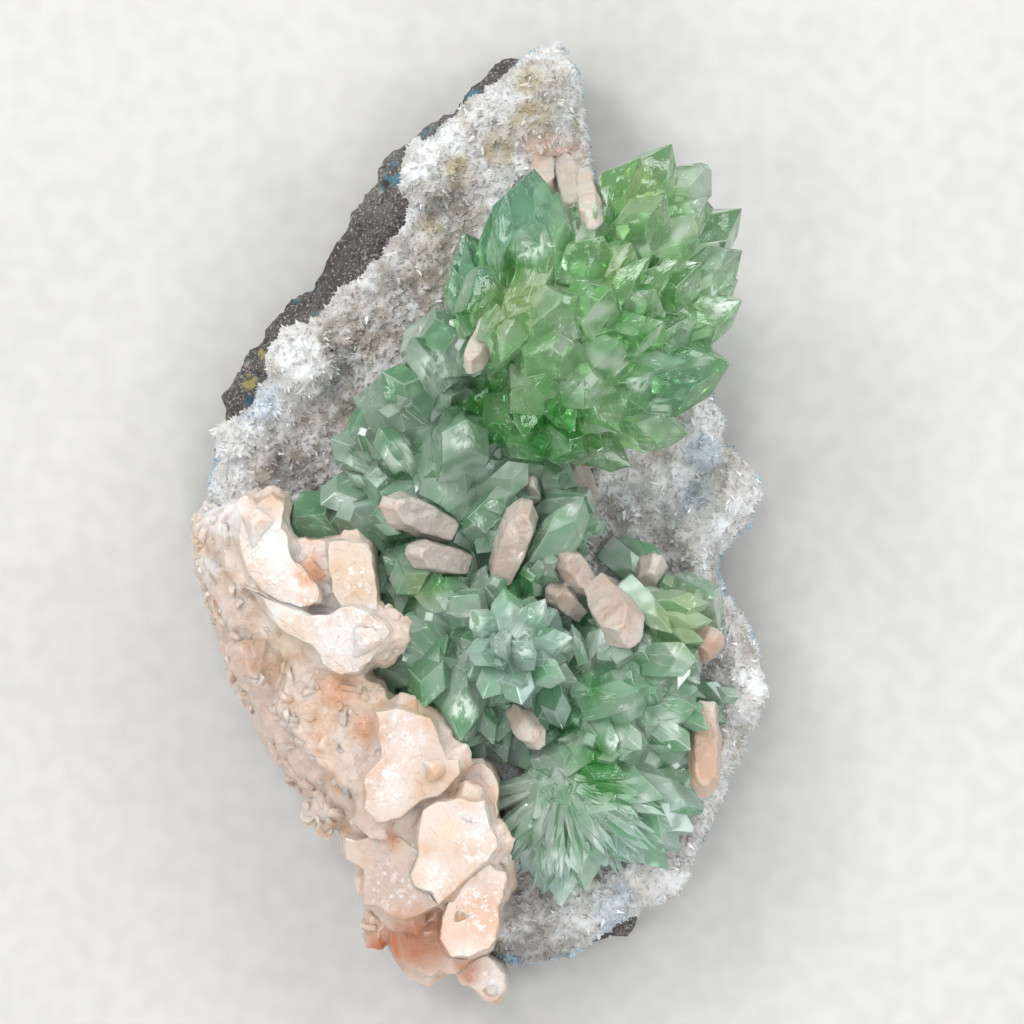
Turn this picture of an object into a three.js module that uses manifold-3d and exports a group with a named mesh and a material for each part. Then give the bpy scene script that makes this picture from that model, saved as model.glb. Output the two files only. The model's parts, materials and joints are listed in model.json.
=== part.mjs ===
// A palm-sized mineral specimen lying on its back, crystal side up: a wedge of basalt under a crust
// of drusy chalcedony, with peach stilbite down one flank and sprays of green apophyllite on top.
// Millimetres, +Z up, +Y along the long axis. The broken underside of the basalt is flat at z = 0.
import * as THREE from 'three';
import { mergeVertices } from 'three/addons/utils/BufferGeometryUtils.js';
import Module from 'manifold-3d';

const wasm = await Module();
wasm.setup();

// ---- driving dimensions ------------------------------------------------------------------------
const SEAT_GAP = 0.35; // clearance between two pieces that grew against each other
const SLOPE_GAP = 0.55; // the same clearance measured straight up, on sloping ground
const LUMP_SPREAD = 1.4; // how far a lump's corners move out for its facets to move out by 1
const PLATE_SPREAD = 1.6; // the same for the corners of a stilbite plate's outline
const WELD = 0.001; // points closer together than this are one point
const FINEST_STEP = 0.2; // steps in a surface below this are levelled
const MIDDLE = { x: 0.4, y: -0.95 }; // middle of the specimen in the x and y used below

const BASALT_TOP = 14; // general height of the rock under the crust
const BASALT_WAIST = 7; // height of the rock's widest line
const BASALT_SLOPE = 6; // run from the widest line in to the full height
const BASALT_FOOT = 7; // run from the widest line in to the flat underside
const BASALT_UNDERCUT = 5.8; // height of the slope between the two
const BASALT_ROWS = 16;
const BASALT_COLUMNS = 9;

const CRUST_TOP = 18.5; // general height of the druse
const CRUST_LIP = 9.5; // height of the crust's outer edge
const CRUST_UNDERSIDE = 6.5;
const CRUST_SLOPE = 3.6; // run from the outer edge in to the full height
const CRUST_ROWS = 25;
const CRUST_COLUMNS = 14;

const FLANK_TOP = 24; // general height of the stilbite
const FLANK_LIP = 8.5; // height of its outer edge
const FLANK_UNDERSIDE = 6;
const FLANK_SLOPE = 5;
const FLANK_ROWS = 12;
const FLANK_COLUMNS = 6;

const END_STEEPNESS = 1.4; // slope of a cushion's two ends over the slope of its sides
const SWELL_FALLOFF = 1.4; // how fast a lump of the ground dies away

// Relief of each surface: height of its bumps and how far apart they are.
const BASALT_WAIST_WANDER = { height: 1.2, apart: 9, seed: 1 };
const BASALT_BREAK = { height: 0.9, apart: 5, seed: 2 };
const CRUST_LIP_WANDER = { height: 0.8, apart: 4, seed: 3 };
const CRUST_KNOBS = { height: 0.7, apart: 4.5, seed: 4 };
const CRUST_GRAIN = { height: 0.45, apart: 2, seed: 5 };
const FLANK_LIP_WANDER = { height: 0.8, apart: 4, seed: 6 };
const FLANK_STEPS = { height: 1.1, apart: 5, seed: 7 };
const FLANK_GRAIN = { height: 0.7, apart: 2.4, seed: 8 };

const PYRAMID_SLOPE = 1.24; // rise of an apophyllite's end faces over the run along x and along y
const ROOT_TAPER = 0.72; // a crystal's width at its root, as a share of its full width
const STEEP = 0.92; // upward part of a crystal's direction above which it counts as standing
// A stilbite plate, in shares of its width, its length or its thickness.
const ROOT_SHARE = 0.7; // width at the root
const BELLY_SHARE = 0.45; // distance from the root to the widest line
const SHOULDER_SHARE = 0.96; // width where the roof-shaped end begins
const ROOF_SHARE = 0.45; // length of the roof-shaped end
const RIDGE_SHARE = 0.3; // width of the tip
const BEVEL_SHARE = 0.22; // bevel round the upper face
const SPRAY_HEART = [5.5, 17, 18]; // where the crystals of the big spray meet

// Outer edges, as [y, x] from the top end to the bottom end.
const BASALT_LEFT = [
  [67, 4], [62.5, 0], [60, -3.5], [57.5, -7.5], [54, -10.5], [51, -14], [45.5, -17.5], [40.5, -19.5],
  [35.5, -21.5], [33, -25.5], [27.5, -30.5], [24, -33.5], [17.5, -37.5], [15, -38.8], [11, -38],
  [3, -38.5], [-12, -36.5], [-21, -33.5], [-35.5, -23.5], [-43, -17], [-51, -12], [-62, -3],
];
const BASALT_RIGHT = [
  [67, 9], [64, 12], [57, 13.5], [47, 15], [38, 18.5], [27.5, 25], [17.5, 31], [11, 34], [5, 36],
  [-6.5, 33.5], [-12, 33.5], [-18, 37], [-29, 38], [-35.5, 35.5], [-47, 32.5], [-52.5, 28],
  [-57.5, 23], [-59, 22.5], [-62, 22.3],
];
const CRUST_LEFT = [
  [69.5, 10.5], [66, 6], [61.5, 1], [58, -4], [56.5, -7.5], [50.5, -10], [45.5, -10.5], [39, -13],
  [35.5, -16.5], [31.5, -22], [24, -29.5], [18, -33], [11.5, -37], [1.5, -40], [-4.5, -40],
  [-18, -36.5], [-35.5, -26], [-43, -18], [-54, -11], [-61, -3.5], [-65.5, 5],
];
const CRUST_RIGHT = [
  [69.5, 12.5], [66, 15], [57, 16], [50.5, 17], [41, 21], [28, 28], [18.5, 34.5], [13.5, 36.5],
  [9.5, 37.5], [7.5, 40], [4.5, 41.5], [0.5, 41.5], [-3, 39.5], [-5.5, 36.5], [-10, 35.5],
  [-15, 39], [-17.5, 41.5], [-26.5, 42.5], [-32, 41], [-35, 37.5], [-43, 36], [-48, 33],
  [-53, 31], [-55.5, 28.5], [-57, 22], [-60, 20], [-64, 18.5], [-65.5, 12],
];
const FLANK_LEFT = [
  [5, -38.5], [1.5, -41], [-4.5, -42], [-9.5, -41], [-18, -37.8], [-22, -37], [-26.5, -35.3],
  [-35.5, -30], [-41, -25.5], [-45.5, -19.5], [-50, -18.7], [-54.5, -15.5], [-58.5, -14.7],
  [-64.5, -10.5], [-67, -3],
];
const FLANK_RIGHT = [
  [5, -35], [2, -31.5], [-2, -26.5], [-7, -18], [-12, -14.5], [-25, -13], [-30, -8.5], [-36, -3.5],
  [-41, 0], [-47.5, 3], [-54, 4], [-64.5, 3], [-67, 1],
];

// Round grape-like knobs of the crust.
const CRUST_BALLS = [
  { centre: [-25, 22.3, 20], half: [6, 6, 6.5] },
  { centre: [-34.5, 10.5, 17], half: [4, 4, 5] },
  { centre: [-6.5, 49.5, 19], half: [5, 6, 5.5] },
  { centre: [37, 4, 17], half: [5, 5, 6.5] },
  { centre: [38, -25, 17], half: [5, 6.5, 6.5] },
  { centre: [25, -52, 17], half: [7, 5, 7] },
];
// Lumps and hollows of the crust, each centred at x, y with its radius and its rise.
const CRUST_SWELLS = [
  { x: -30.5, y: 16.5, radius: 4, rise: 3 },
  { x: 37, y: -1, radius: 5, rise: 3 },
  { x: 39, y: -18, radius: 5, rise: 3 },
  { x: 35, y: -38, radius: 5, rise: 4 },
  { x: 31.5, y: -46.5, radius: 5, rise: 4 },
  { x: 12, y: -60.5, radius: 6, rise: 3.5 },
  { x: 35, y: 12.5, radius: 5, rise: 4 },
  { x: 11.5, y: 62.5, radius: 7, rise: 10 },
  { x: 9, y: 52, radius: 7, rise: 3.5 },
  { x: -11, y: 30, radius: 8, rise: -1.5 },
  { x: -24, y: 5, radius: 7, rise: -1 },
  { x: 24, y: -2, radius: 7, rise: -2 },
  { x: 6, y: -57, radius: 6, rise: -2 },
];
// Level ground that the green clusters grew over: an oval at x, y with two half axes.
const BEDS = [
  { x: 12.5, y: 26, across: 13, along: 14 },
  { x: -5, y: 8, across: 12, along: 11 },
  { x: -20, y: -1, across: 8, along: 4 },
  { x: -1, y: -19, across: 13, along: 17 },
  { x: 22, y: -22, across: 11, along: 15 },
  { x: 19, y: -43, across: 12, along: 9 },
];
const BED_HEIGHT = 18;
const BED_MARGIN = 0.35; // share of an oval's size over which the ground levels out
const FLANK_SWELLS = [
  { x: -24, y: -12, radius: 12, rise: 4 },
  { x: -12, y: -38, radius: 10, rise: 4 },
  { x: -4, y: -52, radius: 9, rise: 2 },
  { x: -38, y: -2, radius: 6, rise: -2 },
  { x: -22, y: -33, radius: 7, rise: -1 },
];

// ---- small tools -------------------------------------------------------------------------------
// A repeatable random number from -1 to 1 for a whole-numbered place and a seed.
function scatter(i, j, seed) {
  const [strideI, strideJ, strideSeed] = [7349, 9151, 613]; // three primes
  return THREE.MathUtils.seededRandom(i * strideI + j * strideJ + seed * strideSeed) * 2 - 1;
}

// Smooth random relief, with bumps of the given height and distance apart.
function relief(x, y, { height, apart, seed }) {
  const i = Math.floor(x / apart);
  const j = Math.floor(y / apart);
  const u = THREE.MathUtils.smoothstep(x / apart - i, 0, 1);
  const v = THREE.MathUtils.smoothstep(y / apart - j, 0, 1);
  const low = THREE.MathUtils.lerp(scatter(i, j, seed), scatter(i + 1, j, seed), u);
  const high = THREE.MathUtils.lerp(scatter(i, j + 1, seed), scatter(i + 1, j + 1, seed), u);
  return height * THREE.MathUtils.lerp(low, high, v);
}

// A closed solid from its points and flat faces, each face listed anticlockwise from outside.
function solidFrom(points, faces) {
  const triangles = [];
  for (const face of faces) {
    for (let k = 1; k < face.length - 1; k += 1) triangles.push(face[0], face[k], face[k + 1]);
  }
  const mesh = new wasm.Mesh({
    numProp: 3,
    vertProperties: new Float32Array(points.flat()),
    triVerts: new Uint32Array(triangles),
  });
  return new wasm.Manifold(mesh);
}

// A lump of twenty facets about its centre.
function lump({ centre, half }, grow = 0) {
  const shape = new THREE.IcosahedronGeometry(1, 0);
  shape.deleteAttribute('normal');
  shape.deleteAttribute('uv');
  const ball = mergeVertices(shape, WELD);
  const points = [];
  for (let k = 0; k < ball.attributes.position.count; k += 1) {
    const corner = new THREE.Vector3().fromBufferAttribute(ball.attributes.position, k);
    const swollen = half.map((size) => size + grow * LUMP_SPREAD);
    points.push(corner.toArray().map((value, axis) => centre[axis] + value * swollen[axis]));
  }
  const faces = [];
  for (let k = 0; k < ball.index.count; k += 3) {
    faces.push([ball.index.getX(k), ball.index.getX(k + 1), ball.index.getX(k + 2)]);
  }
  return solidFrom(points, faces);
}

function joined(solids) {
  return solids.reduce((whole, solid) => whole.add(solid));
}

// The outermost shell of a solid: without the slivers that a cut can leave, and with any sealed
// void between its crystals filled.
function mainBody(solid) {
  const { numProp, vertProperties, triVerts } = solid.getMesh();
  const leader = Array.from({ length: vertProperties.length / numProp }, (_, k) => k);
  const find = (k) => {
    let top = k;
    while (leader[top] !== top) top = leader[top];
    leader[k] = top;
    return top;
  };
  for (let k = 0; k < triVerts.length; k += 3) {
    leader[find(triVerts[k + 1])] = find(triVerts[k]);
    leader[find(triVerts[k + 2])] = find(triVerts[k]);
  }
  const shells = new Map();
  for (let k = 0; k < triVerts.length; k += 3) {
    const shell = find(triVerts[k]);
    if (!shells.has(shell)) shells.set(shell, []);
    shells.get(shell).push(triVerts[k], triVerts[k + 1], triVerts[k + 2]);
  }
  const largest = [...shells.values()].sort((a, b) => b.length - a.length)[0];
  const used = [...new Set(largest)];
  const renumbered = new Map(used.map((vertex, k) => [vertex, k]));
  const points = used.map((v) => Array.from(vertProperties.slice(v * numProp, v * numProp + 3)));
  return solidFrom(points, largest.map((v) => renumbered.get(v)).reduce((faces, v, k) => {
    if (k % 3 === 0) faces.push([]);
    faces[faces.length - 1].push(v);
    return faces;
  }, []));
}

// ---- rock, crust and flank: cushions with a relief on top ------------------------------------
function edgeAt(edge, y) {
  if (y >= edge[0][0]) return edge[0][1];
  const k = edge.findIndex(([level]) => level <= y);
  if (k < 0) return edge[edge.length - 1][1];
  const [y0, x0] = edge[k - 1];
  const [y1, x1] = edge[k];
  return THREE.MathUtils.lerp(x0, x1, (y - y0) / (y1 - y0));
}

// A cushion between a left and a right edge. The points of its rim lie at the rim height, and
// inside it top and underside follow their own height functions. grow swells it on every side.
function cushion({ left, right, rows, columns, rim, top, under }, grow = 0) {
  const yTop = left[0][0] + grow;
  const yBottom = left[left.length - 1][0] - grow;
  const points = [];
  const upper = [];
  const lower = [];
  for (let j = 0; j <= rows; j += 1) {
    const y = THREE.MathUtils.lerp(yTop, yBottom, j / rows);
    const xLeft = edgeAt(left, y) - grow;
    const xRight = edgeAt(right, y) + grow;
    upper.push([]);
    lower.push([]);
    for (let i = 0; i <= columns; i += 1) {
      const even = i / columns;
      const eased = (1 - Math.cos(Math.PI * even)) / 2;
      const x = THREE.MathUtils.lerp(xLeft, xRight, (even + eased) / 2);
      const fromEnds = Math.min(yTop - y, y - yBottom) * END_STEEPNESS;
      const inward = Math.min(x - xLeft, xRight - x, fromEnds);
      const onRim = i === 0 || i === columns || j === 0 || j === rows;
      upper[j].push(points.length);
      if (onRim) {
        lower[j].push(points.length);
        points.push([x, y, rim(x, y)]);
      } else {
        points.push([x, y, top(x, y, inward) + (grow ? SLOPE_GAP : 0)]);
        lower[j].push(points.length);
        points.push([x, y, under(x, y, inward) - (grow ? SLOPE_GAP : 0)]);
      }
    }
  }
  const faces = [];
  for (let j = 0; j < rows; j += 1) {
    for (let i = 0; i < columns; i += 1) {
      const a = upper[j][i];
      const b = upper[j + 1][i];
      const c = upper[j + 1][i + 1];
      const d = upper[j][i + 1];
      if ((i + j) % 2) faces.push([a, b, c], [a, c, d]);
      else faces.push([a, b, d], [b, c, d]);
      const e = lower[j][i];
      const f = lower[j + 1][i];
      const g = lower[j + 1][i + 1];
      const h = lower[j][i + 1];
      if ((i + j) % 2) faces.push([e, g, f], [e, h, g]);
      else faces.push([e, h, f], [f, h, g]);
    }
  }
  return solidFrom(points, faces.filter(([a, b, c]) => a !== b && b !== c && a !== c));
}

// Height gained at a distance in from an edge: steep at first, then level.
function shoulder(inward, run) {
  const t = Math.min(Math.max(inward / run, 0), 1);
  return Math.sqrt(1 - (1 - t) * (1 - t));
}

function swell(list, x, y) {
  return list.reduce((sum, s) => {
    const d2 = ((x - s.x) ** 2 + (y - s.y) ** 2) / s.radius ** 2;
    return sum + s.rise * Math.exp(-SWELL_FALLOFF * d2);
  }, 0);
}

// How much of the ground's own relief is left at x, y: none inside a bed.
function groundShare(x, y) {
  return BEDS.reduce((share, bed) => {
    const reach = Math.hypot((x - bed.x) / bed.across, (y - bed.y) / bed.along);
    return Math.min(share, THREE.MathUtils.smoothstep(reach, 1, 1 + BED_MARGIN));
  }, 1);
}

const basaltForm = {
  left: BASALT_LEFT,
  right: BASALT_RIGHT,
  rows: BASALT_ROWS,
  columns: BASALT_COLUMNS,
  rim: (x, y) => BASALT_WAIST + relief(x, y, BASALT_WAIST_WANDER),
  top: (x, y, inward) => {
    const rise = (BASALT_TOP - BASALT_WAIST) * THREE.MathUtils.smoothstep(inward, 0, BASALT_SLOPE);
    return BASALT_WAIST + rise + relief(x, y, BASALT_BREAK);
  },
  under: (x, y, inward) => {
    const lift = Math.max(1 - inward / BASALT_FOOT, 0);
    return BASALT_UNDERCUT * lift * lift;
  },
};

const crustForm = {
  left: CRUST_LEFT,
  right: CRUST_RIGHT,
  rows: CRUST_ROWS,
  columns: CRUST_COLUMNS,
  rim: (x, y) => CRUST_LIP + relief(x, y, CRUST_LIP_WANDER),
  top: (x, y, inward) => {
    const grains = relief(x, y, CRUST_KNOBS) + relief(x, y, CRUST_GRAIN);
    const ground = CRUST_TOP + swell(CRUST_SWELLS, x, y) + grains;
    const full = THREE.MathUtils.lerp(BED_HEIGHT, ground, groundShare(x, y));
    return THREE.MathUtils.lerp(CRUST_LIP, full, shoulder(inward, CRUST_SLOPE));
  },
  under: () => CRUST_UNDERSIDE,
};

const flankForm = {
  left: FLANK_LEFT,
  right: FLANK_RIGHT,
  rows: FLANK_ROWS,
  columns: FLANK_COLUMNS,
  rim: (x, y) => FLANK_LIP + relief(x, y, FLANK_LIP_WANDER),
  top: (x, y, inward) => {
    const stepped = relief(x, y, FLANK_STEPS) + relief(x, y, FLANK_GRAIN);
    const full = FLANK_TOP + swell(FLANK_SWELLS, x, y) + stepped;
    return THREE.MathUtils.lerp(FLANK_LIP, full, shoulder(inward, FLANK_SLOPE));
  },
  under: () => FLANK_UNDERSIDE,
};

// ---- crystals ----------------------------------------------------------------------------------
// The frame of a crystal: its long axis from root to tip, its broad direction and its thin one.
function axes(from, to, turn) {
  const along = new THREE.Vector3(...to).sub(new THREE.Vector3(...from));
  const length = along.length();
  along.normalize();
  const up = Math.abs(along.z) > STEEP ? new THREE.Vector3(0, 1, 0) : new THREE.Vector3(0, 0, 1);
  const broad = new THREE.Vector3().crossVectors(along, up).normalize();
  broad.applyAxisAngle(along, THREE.MathUtils.degToRad(turn));
  const thin = new THREE.Vector3().crossVectors(along, broad).normalize();
  const root = new THREE.Vector3(...from);
  const place = (x, y, z) => {
    const p = root.clone().addScaledVector(broad, x).addScaledVector(thin, y);
    return p.addScaledVector(along, z).toArray();
  };
  return { length, place };
}

// An apophyllite crystal: a square prism that ends in a four-sided pyramid whose faces sit over
// the prism's corners, so that each is a kite. blunt is how much of its tip a flat base face
// takes off.
function apophyllite({ from, to, wide, thick, turn, blunt = 0 }, grow = 0) {
  const { length, place } = axes(from, to, turn);
  const a = wide / 2 + grow;
  const b = thick / 2 + grow;
  const rootA = (wide / 2) * ROOT_TAPER + grow;
  const rootB = (thick / 2) * ROOT_TAPER + grow;
  const foot = -grow;
  const apex = length + blunt + grow * Math.hypot(PYRAMID_SLOPE, PYRAMID_SLOPE, 1);
  const corner = apex - PYRAMID_SLOPE * (a + b);
  const leanA = (a - rootA) / (corner - foot);
  const leanB = (b - rootB) / (corner - foot);
  const midA = (rootA + leanA * (apex - foot)) / (1 + leanA * PYRAMID_SLOPE);
  const midB = (rootB + leanB * (apex - foot)) / (1 + leanB * PYRAMID_SLOPE);
  const highA = apex - PYRAMID_SLOPE * midA;
  const highB = apex - PYRAMID_SLOPE * midB;
  const points = [
    [midA, 0, highA], [a, b, corner], [0, midB, highB], [-a, b, corner],
    [-midA, 0, highA], [-a, -b, corner], [0, -midB, highB], [a, -b, corner],
    [rootA, rootB, foot], [-rootA, rootB, foot], [-rootA, -rootB, foot], [rootA, -rootB, foot],
  ];
  const faces = [[0, 7, 11, 8, 1], [2, 1, 8, 9, 3], [4, 3, 9, 10, 5], [6, 5, 10, 11, 7], [8, 11, 10, 9]];
  if (blunt) {
    const cut = length + grow;
    const tip = (apex - cut) / PYRAMID_SLOPE;
    points.push([tip, 0, cut], [0, tip, cut], [-tip, 0, cut], [0, -tip, cut]);
    faces.push([12, 0, 1, 2, 13], [13, 2, 3, 4, 14], [14, 4, 5, 6, 15], [15, 6, 7, 0, 12]);
    faces.push([12, 13, 14, 15]);
  } else {
    points.push([0, 0, apex]);
    faces.push([12, 0, 1, 2], [12, 2, 3, 4], [12, 4, 5, 6], [12, 6, 7, 0]);
  }
  return solidFrom(points.map((p) => place(...p)), faces);
}

// A stilbite crystal: a thick plate, waisted at its root, with a blunt roof-shaped end and a
// bevel round its upper face.
function stilbite({ from, to, wide, thick, turn }, grow = 0) {
  const { length, place } = axes(from, to, turn);
  const half = wide / 2;
  const root = half * ROOT_SHARE;
  const shoulderX = half * SHOULDER_SHARE;
  const shoulderZ = length - wide * ROOF_SHARE;
  const ridge = half * RIDGE_SHARE;
  const belly = length * BELLY_SHARE;
  const outline = [
    [-root, 0], [root, 0], [half, belly], [shoulderX, shoulderZ],
    [ridge, length], [-ridge, length], [-shoulderX, shoulderZ], [-half, belly],
  ];
  const bevel = thick * BEVEL_SHARE;
  const ring = (inset, y) => outline.map(([x, z]) => {
    const outward = grow * PLATE_SPREAD - inset;
    return [x * (1 + outward / half), y, z + (z - length / 2) * (outward / (length / 2))];
  });
  const lift = thick / 2 + grow;
  const points = [...ring(bevel, -lift), ...ring(0, lift)];
  const faces = [[0, 1, 2, 3, 4, 5, 6, 7], [15, 14, 13, 12, 11, 10, 9, 8]];
  for (let k = 0; k < 8; k += 1) {
    const next = (k + 1) % 8;
    faces.push([next, k, k + 8, next + 8]);
  }
  return solidFrom(points.map((p) => place(...p)), faces);
}

// One line for one apophyllite crystal.
function grown(from, to, wide, thick, turn, blunt = 0) {
  return { from, to, wide, thick, turn, blunt };
}

// The same for a crystal of the spray, which points away from the spray's heart.
function radiating(to, length, wide, thick, turn, blunt = 0) {
  const tip = new THREE.Vector3(...to);
  const inward = new THREE.Vector3(...SPRAY_HEART).sub(tip).setLength(length);
  return { from: tip.clone().add(inward).toArray(), to, wide, thick, turn, blunt };
}

// One line for one stilbite plate.
function plate(from, to, wide, thick, turn = 0) {
  return { from, to, wide, thick, turn };
}

// ---- the crystals of each group, from the root to the tip ---------------------------------------
// Plates of the stilbite flank.
const FLANK_PLATES = [
  plate([-31.5, -7, 22], [-28.5, 3, 30], 7, 4.5, 20),
  plate([-22.5, -16, 22], [-32.5, 1.5, 34], 9, 6, 10),
  plate([-20, -12, 22], [-26.5, -6.5, 31], 6.5, 5, 0),
  plate([-18, -18, 20], [-17.5, -3.5, 33], 7.5, 5.5, 10),
  plate([-26.5, -19.5, 24], [-11.5, -16.5, 38], 10, 8, 0),
  plate([-16.5, -38, 22], [-2.5, -35, 36], 9, 7, 10),
  plate([-10.5, -41, 22], [-9.5, -27.5, 35], 9, 7, 0),
  plate([-13, -35.5, 22], [-14, -44, 34], 8, 6, 10),
  plate([-3.5, -40, 20], [-6, -29, 32], 6.5, 5, 20),
  plate([-8, -50, 20], [3.5, -46, 35], 9.5, 6, 10),
  plate([-5, -54, 20], [-0.5, -40, 36], 9, 6, 0),
  plate([-10, -48.5, 22], [-4.5, -53.5, 33], 9, 6, 20),
  plate([-13.5, -51.5, 20], [-8.5, -58, 29], 8.5, 5, 0),
  plate([-15.5, -48.5, 20], [-13.5, -57, 26], 6.5, 5, 20),
  plate([-5, -61.5, 17], [4.5, -50.5, 27], 8.5, 6, 10),
  plate([-6.5, -58, 17], [0.5, -56, 30], 8.5, 6, 0),
  plate([-10, -61, 15], [-6.5, -66.5, 21], 8, 6, 10),
  plate([-13, -58, 16], [-15, -61, 20], 6.5, 5, 30),
  plate([-1.5, -63.5, 14], [3.5, -70.5, 17], 4.5, 4, 0),
  plate([-25, -12, 22], [-38.5, 0, 27], 7.5, 5, 30),
  plate([-25, -26.5, 22], [-35, -18, 26], 7.5, 5, 20),
  plate([-18, -42.5, 20], [-24, -42, 23], 6.5, 5, 20),
  plate([0, -45.5, 22], [0.5, -35.5, 30], 6, 3.2, 5),
];
// Stilbite scattered over the green crystals, each row one crystal or crystals grown together.
const STILBITE_SPRIGS = [
  [plate([-3, -2.5, 27], [-12.5, 2, 34], 5.5, 3.4, 10)],
  [plate([-1, -7, 26], [-9, -5, 33], 5, 3.2)],
  [plate([3.5, -9.5, 27], [7.5, 1.5, 35], 5.4, 3.4, 10)],
  [plate([16.5, 2, 20], [14, 8.5, 27], 4.4, 3, 20)],
  [plate([9, 1.5, 24], [8, 5, 31], 2.4, 1.8)],
  [
    plate([17, -11, 24], [12.5, -5, 31], 4.4, 3, 15),
    plate([15.5, -14.5, 23], [11, -10.5, 28], 4, 2.8),
    plate([17.5, -9.5, 26], [22, -17.5, 35], 6.8, 4.2, 10),
  ],
  [plate([24, -12, 20], [26, -6.5, 27], 4.5, 3.4)],
  [plate([31.5, -20, 22], [34, -17.5, 29], 5.5, 3.6, 10)],
  [plate([33.5, -26.5, 24], [33, -40, 29], 4.8, 3.6)],
  [plate([5.5, -27.5, 26], [9, -33, 31], 4, 3, 20)],
  [plate([10, -37.5, 20], [13.5, -36, 25], 3.2, 2.4)],
  [plate([4.5, -45.5, 19], [9.5, -37.5, 24], 4.6, 3)],
  [plate([15.8, 48.5, 36], [16.4, 41, 53], 3.6, 2.8, 10)],
  [plate([12.5, 53, 18], [14.7, 43.5, 35], 4, 2.6, 20)],
  [plate([10.5, 54.5, 16], [9.5, 46, 29], 5, 3.2)],
  [plate([3, 29, 38], [-0.8, 20.5, 46], 3.6, 2.6, 20)],
];
// The big spray: crystals that radiate from the upper right of the druse, tips up and outwards.
const SPRAY = [
  radiating([8.5, 49, 44], 24, 10, 8, 8),
  radiating([-1.5, 40, 35], 18, 8, 7, 30, 0.6),
  radiating([-1, 30.5, 33], 15, 8, 7, 10, 1.5),
  radiating([1, 35, 42], 16, 8, 7, 40, 0.8),
  radiating([15.5, 41.5, 50], 18, 8, 7, 20, 0.8),
  radiating([11, 38, 51], 18, 8, 6, 5, 0.8),
  radiating([4.5, 27.5, 48], 16, 8, 7, 20, 1.6),
  radiating([28, 52.5, 43], 26, 9.5, 8, 40),
  radiating([23.5, 50.5, 44], 20, 7, 7, 10),
  radiating([19, 46.5, 45], 18, 7, 6, 30),
  radiating([33, 49.5, 38], 18, 6, 6, 0, 1.2),
  radiating([33, 45, 43], 18, 5.5, 5, 35),
  radiating([38, 43.5, 40], 22, 6.5, 6, 42),
  radiating([38, 37.5, 42], 20, 6, 6, 10),
  radiating([37.5, 33.5, 39], 18, 5.5, 5, 45),
  radiating([38, 30.5, 41], 22, 7, 6, 40),
  radiating([34, 25, 37], 18, 6, 6, 0, 0.3),
  radiating([36, 21.5, 42], 26, 10, 8, 42, 0.4),
  radiating([27, 27.5, 51], 20, 8, 5.5, 5),
  radiating([30.5, 11.5, 35], 18, 5.5, 5.5, 45),
  radiating([22.5, 7, 30], 16, 4.5, 4.5, 20),
  radiating([18, 9, 38], 16, 6.5, 6, 10, 0.8),
  radiating([14.5, 10, 43], 18, 7.5, 7, 0, 1.6),
  radiating([9.5, 10.5, 42], 16, 8, 7, 15, 1.8),
  radiating([5, 13, 40], 14, 7, 7, 5, 1.4),
  radiating([10, 18, 53], 20, 8, 7, 0, 1.8),
  radiating([16.5, 19, 53], 18, 8.5, 7, 0, 1.5),
  radiating([21, 16, 48], 18, 8, 7, 20, 1),
  radiating([22, 38, 54], 18, 7, 6, 20),
  radiating([27, 45, 50], 20, 7, 6, 0),
  radiating([31.5, 42.5, 47], 20, 6.5, 6, 30),
  radiating([32, 35.5, 49], 20, 6.5, 6, 15),
  radiating([13, 30, 57], 18, 8.5, 8, 30, 1),
  radiating([19, 31.5, 57], 18, 8, 7, 0, 0.4),
  radiating([25.5, 31.5, 54], 18, 7.5, 6.5, 40),
  radiating([18, 38.5, 55], 16, 7, 7, 10, 0.5),
  radiating([30.5, 28, 46], 18, 6.5, 6, 10, 0.3),
  radiating([8, 28.5, 53], 16, 7.5, 7, 0, 1),
  radiating([12, 23.5, 56], 18, 8, 7, 10, 1.5),
  radiating([20.5, 24.5, 54], 18, 7, 7, 30, 0.5),
];
// The massive base of the spray.
const SPRAY_MASSES = [
  { centre: [6, 27, 24], half: [9, 13, 18] },
  { centre: [18, 28, 30], half: [16, 17, 23] },
];
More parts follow.
